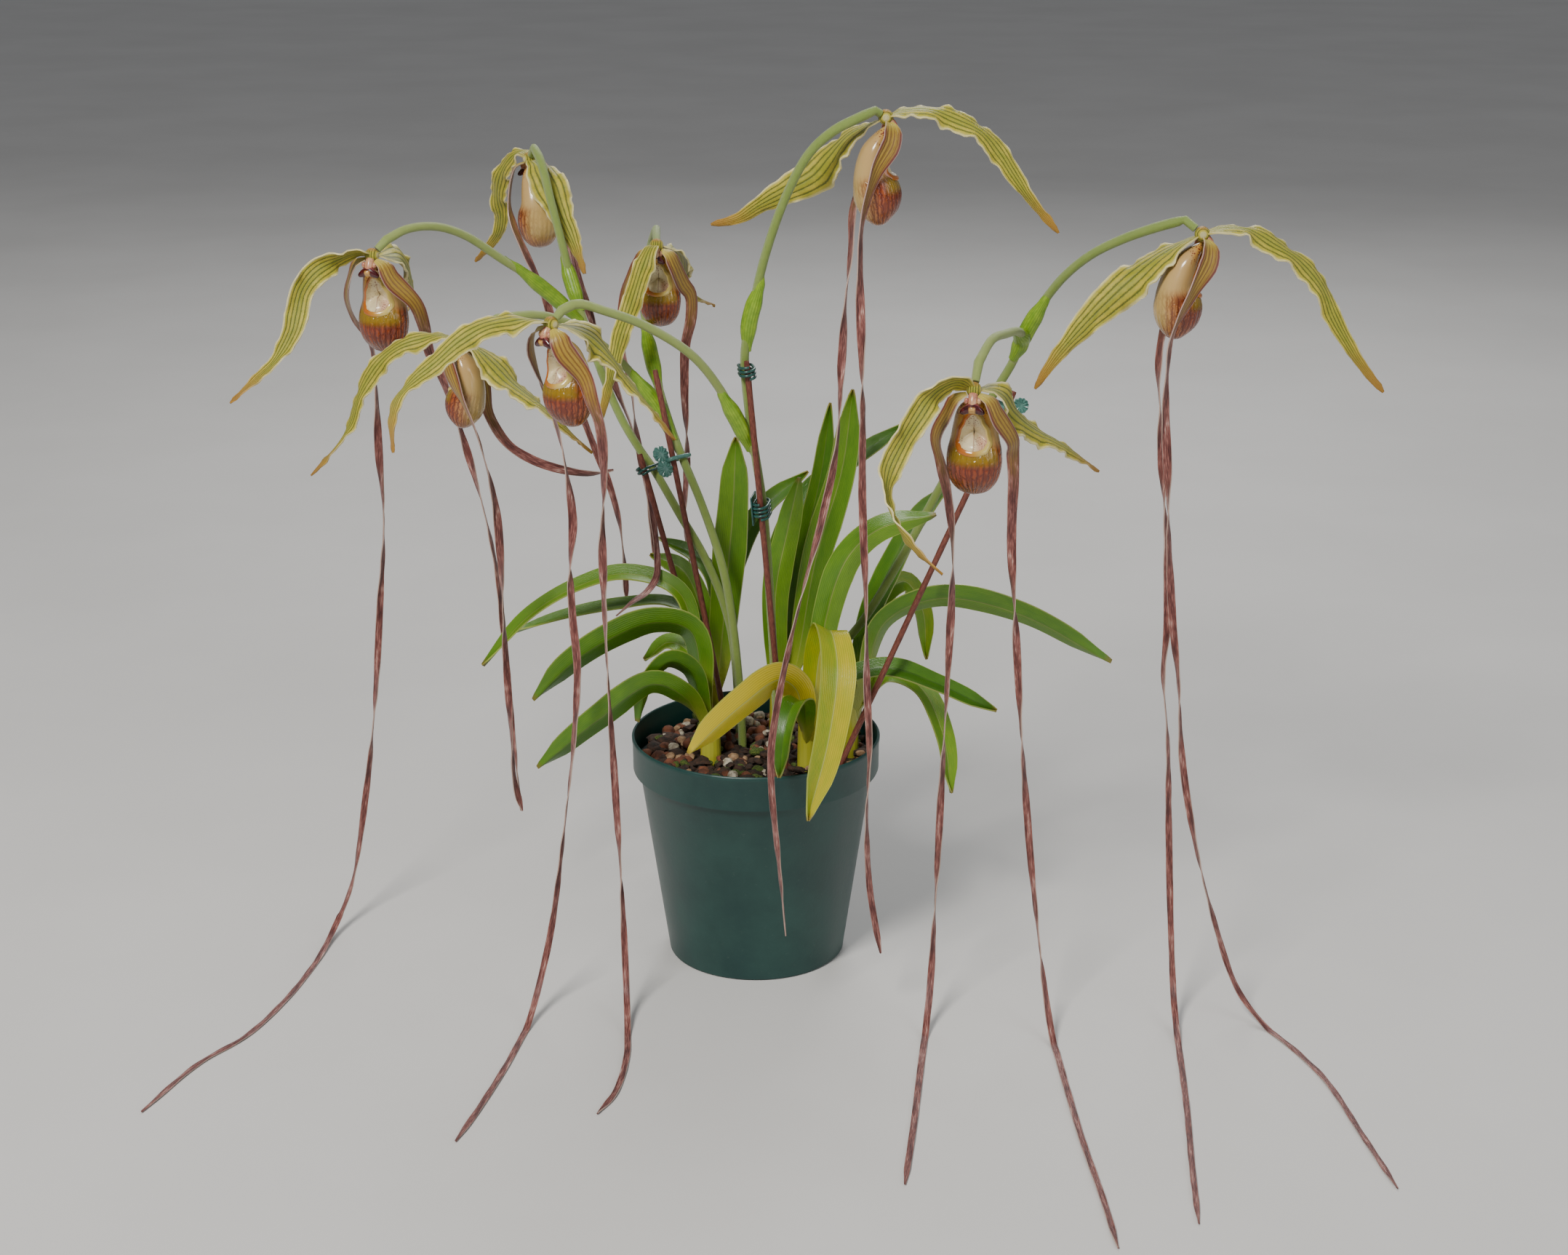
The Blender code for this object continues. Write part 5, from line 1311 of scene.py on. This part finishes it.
def pot():
    """A round nursery pot: a rounded rim band, a sloping wall and a flat base with drain holes."""
    inner = RIM_RADIUS - WALL
    outline = [(0, POT_FLOOR), (BASE_RADIUS - WALL - 1, POT_FLOOR), (BASE_RADIUS - WALL, POT_FLOOR + 1),
               (inner - BAND_STEP, BAND_BOTTOM), (inner, BAND_BOTTOM + 3), (inner, POT_HEIGHT - 1.2),
               (inner + 0.3, POT_HEIGHT - 0.4), (inner + 0.9, POT_HEIGHT),
               (RIM_RADIUS - 0.4, POT_HEIGHT - 0.3),
               (RIM_RADIUS, POT_HEIGHT - 1.0), (RIM_RADIUS - 0.1, POT_HEIGHT - 3.0),
               (RIM_RADIUS - 0.5, POT_HEIGHT - 3.6), (RIM_RADIUS - 0.6, BAND_BOTTOM + 1.4),
               (RIM_RADIUS - 0.9, BAND_BOTTOM + 0.6), (RIM_RADIUS - BAND_STEP + 0.8, BAND_BOTTOM - 0.4),
               (RIM_RADIUS - BAND_STEP + 0.3, BAND_BOTTOM - 1.0),
               (BASE_RADIUS + 0.1, 4), (BASE_RADIUS - 0.3, 1),
               (BASE_RADIUS - 1.5, 0), (0, 0)]
    item = turned("pot_moulded", outline, 112)
    for i in range(DRAIN_HOLES):
        angle = math.tau * (i + 0.15) / DRAIN_HOLES
        bm = bmesh.new()
        place = metres((DRAIN_CIRCLE * math.cos(angle), DRAIN_CIRCLE * math.sin(angle), 2))
        bmesh.ops.create_cone(bm, cap_ends=True, segments=20, radius1=DRAIN_RADIUS * MM,
                              radius2=DRAIN_RADIUS * MM, depth=12 * MM, matrix=Matrix.Translation(place))
        drill = new_object("drill", bm)
        hole = item.modifiers.new("hole", "BOOLEAN")
        hole.operation = "DIFFERENCE"
        hole.solver = "EXACT"
        hole.object = drill
        applied(item)
        bpy.data.objects.remove(drill)
    return shown(painted(item, pot_plastic), "pot", 35)


def scattered(name, draw, count, size, squash, finish, level, detail=1):
    """Pellets or chips lying at random in the pot's mouth, each one a little lumpy."""
    bm = bmesh.new()
    for _ in range(count):
        reach = (LUMP_SPREAD + 6) * math.sqrt(draw.random())
        angle = draw.uniform(0, math.tau)
        x, y = reach * math.cos(angle), reach * math.sin(angle)
        radius = draw.uniform(*size)
        crowns = [math.hypot(x - spec["crown"][0], y - spec["crown"][1]) for spec in FANS.values()]
        height = MIX_TOP + level + draw.uniform(-2.0, 2.5) + 3.5 * noise.noise(Vector((x, y, 7)) / 25)
        seed = Vector((draw.uniform(0, 50), draw.uniform(0, 50), draw.uniform(0, 50)))
        turn = Matrix.Rotation(draw.uniform(0, math.tau), 4, "Z")
        turn = turn @ Matrix.Rotation(draw.uniform(-0.7, 0.7), 4, "X")
        length = radius * MM
        shape = Matrix.Diagonal((length, length * draw.uniform(0.7, 1.0), length * squash, 1.0))
        if min(crowns) < CROWN_RADIUS + radius * 0.6 or reach + radius > RIM_RADIUS - WALL - 0.5:
            continue
        lump = bmesh.ops.create_icosphere(bm, subdivisions=detail, radius=1.0)["verts"]
        for vert in lump:
            vert.co *= 1 + 0.28 * noise.noise(vert.co * 1.3 + seed)
        bmesh.ops.transform(bm, matrix=Matrix.Translation(metres((x, y, height))) @ turn @ shape,
                            verts=lump)
    return shown(painted(new_object(name, bm), finish), "potting_mix", 60)


def potting_mix():
    """The filling: dark soil, with clay pellets, pumice, bark and moss lying on it."""
    high = RIM_RADIUS - BAND_STEP - WALL - 1.5
    low = BASE_RADIUS - WALL - 0.6
    outline = [(0, MIX_TOP - 1)] + [(high * k / 8, MIX_TOP - 1) for k in range(1, 9)]
    outline += [(high, BAND_BOTTOM), (low, POT_FLOOR + GAP), (0, POT_FLOOR + GAP)]
    item = turned("mix_bed", outline, 96)
    for vert in item.data.vertices:
        if vert.co.z > (MIX_TOP - 2) * MM:
            vert.co.z += 1.5 * MM * noise.noise(vert.co / MM / 7)
    shown(painted(item, bark_dark), "potting_mix", 60)
    draw = random.Random(11)
    scattered("clay_pellets", draw, 150, (2.8, 5.2), 0.85, clay_red, 0.8, 2)
    scattered("bark_chips", draw, 420, (3.0, 7.0), 0.4, bark_dark, 1.5)
    scattered("pumice_chips", draw, 60, (1.8, 4.4), 0.8, pumice_pale, 1.8, 2)
    scattered("tan_chips", draw, 60, (1.8, 4.2), 0.6, chip_tan, 2.2, 2)
    scattered("moss_tufts", draw, 110, (2.0, 5.5), 0.5, moss_green, 1.6, 2)


sepal_tissue = sepal_finish()
leaf_blade = leaf_finish()
petal_tissue = petal_finish()
stem_skin = stem_finish()
bract_skin = bract_finish()
pouch_skin = pouch_finish()
pouch_lining = lining_finish()
pouch_rim = rim_finish()
staminode_skin = staminode_finish()
column_skin = column_finish()
stake_cane = cane_finish()
pot_plastic = pot_finish()
clip_plastic = plain_grain("clip_plastic", (0.008, 0.050, 0.042), (0.02, 0.085, 0.07), 0.25, 600, 0.03)
claw_plastic = plain_grain("claw_plastic", (0.06, 0.19, 0.16), (0.13, 0.30, 0.25), 0.2, 500, 0.03,
                           Transmission_Weight=0.2)
clay_red = plain_grain("clay_red", (0.060, 0.018, 0.008), (0.20, 0.065, 0.028), 0.85, 180, 0.6)
bark_dark = plain_grain("bark_dark", (0.007, 0.004, 0.0025), (0.055, 0.024, 0.012), 0.85, 300, 1.0)
pumice_pale = plain_grain("pumice_pale", (0.20, 0.16, 0.11), (0.55, 0.50, 0.39), 0.85, 420, 0.5)
chip_tan = plain_grain("chip_tan", (0.16, 0.085, 0.040), (0.38, 0.24, 0.13), 0.85, 380, 0.5)
moss_green = plain_grain("moss_green", (0.020, 0.040, 0.004), (0.10, 0.14, 0.018), 0.95, 900, 1.2)

pot()
potting_mix()
for build, table in ((fan, FANS), (scape, SCAPES), (stake, STAKES), (coil_clip, COIL_CLIPS),
                     (claw_clip, CLAW_CLIPS)):
    for name, spec in table.items():
        build(name, spec)
for key, spec in BLOOMS.items():
    sepals(key, spec)
    pouch(key, spec)
for name, (spread, hanging) in PETALS.items():
    petal(f"petal_{name}", name[0], BLOOMS[name[0]], spread, hanging)


# Camera, floor and light

def lamp(name, place, target, size, power, colour):
    light = bpy.data.lights.new(name, "AREA")
    light.shape = "DISK"
    light.size = size
    light.energy = power
    light.color = colour
    item = linked(name, light)
    item.location = place
    item.rotation_euler = (Vector(target) - Vector(place)).to_track_quat("-Z", "Y").to_euler()


camera = linked("camera", bpy.data.cameras.new("camera"))
bpy.context.scene.camera = camera
camera.data.sensor_width = 36.0
camera.data.lens = LENS
camera.location = CAMERA_PLACE
camera.rotation_euler = (math.radians(90 - CAMERA_PITCH), 0, 0)
camera.data.clip_end = 100

bm = bmesh.new()
bmesh.ops.create_circle(bm, cap_ends=True, segments=96, radius=30.0)
floor = new_object("floor", bm)
painted(floor, plain_grain("floor_paint", (0.60, 0.59, 0.57), (0.64, 0.63, 0.61), 0.8, 3, 0.1))

world = bpy.data.worlds.new("studio")
bpy.context.scene.world = world
world.use_nodes = True
world.node_tree.nodes["Background"].inputs["Color"].default_value = (0.82, 0.84, 0.88, 1.0)
world.node_tree.nodes["Background"].inputs["Strength"].default_value = 0.26
middle = (0, 0, 0.3)
lamp("key", (-0.8, -1.6, 2.0), middle, 0.7, 66, (1.0, 0.97, 0.93))
lamp("fill", (1.7, -1.2, 1.1), middle, 1.4, 12, (0.95, 0.97, 1.0))
lamp("back", (0.3, 1.8, 1.8), middle, 1.2, 24, (1.0, 1.0, 1.0))
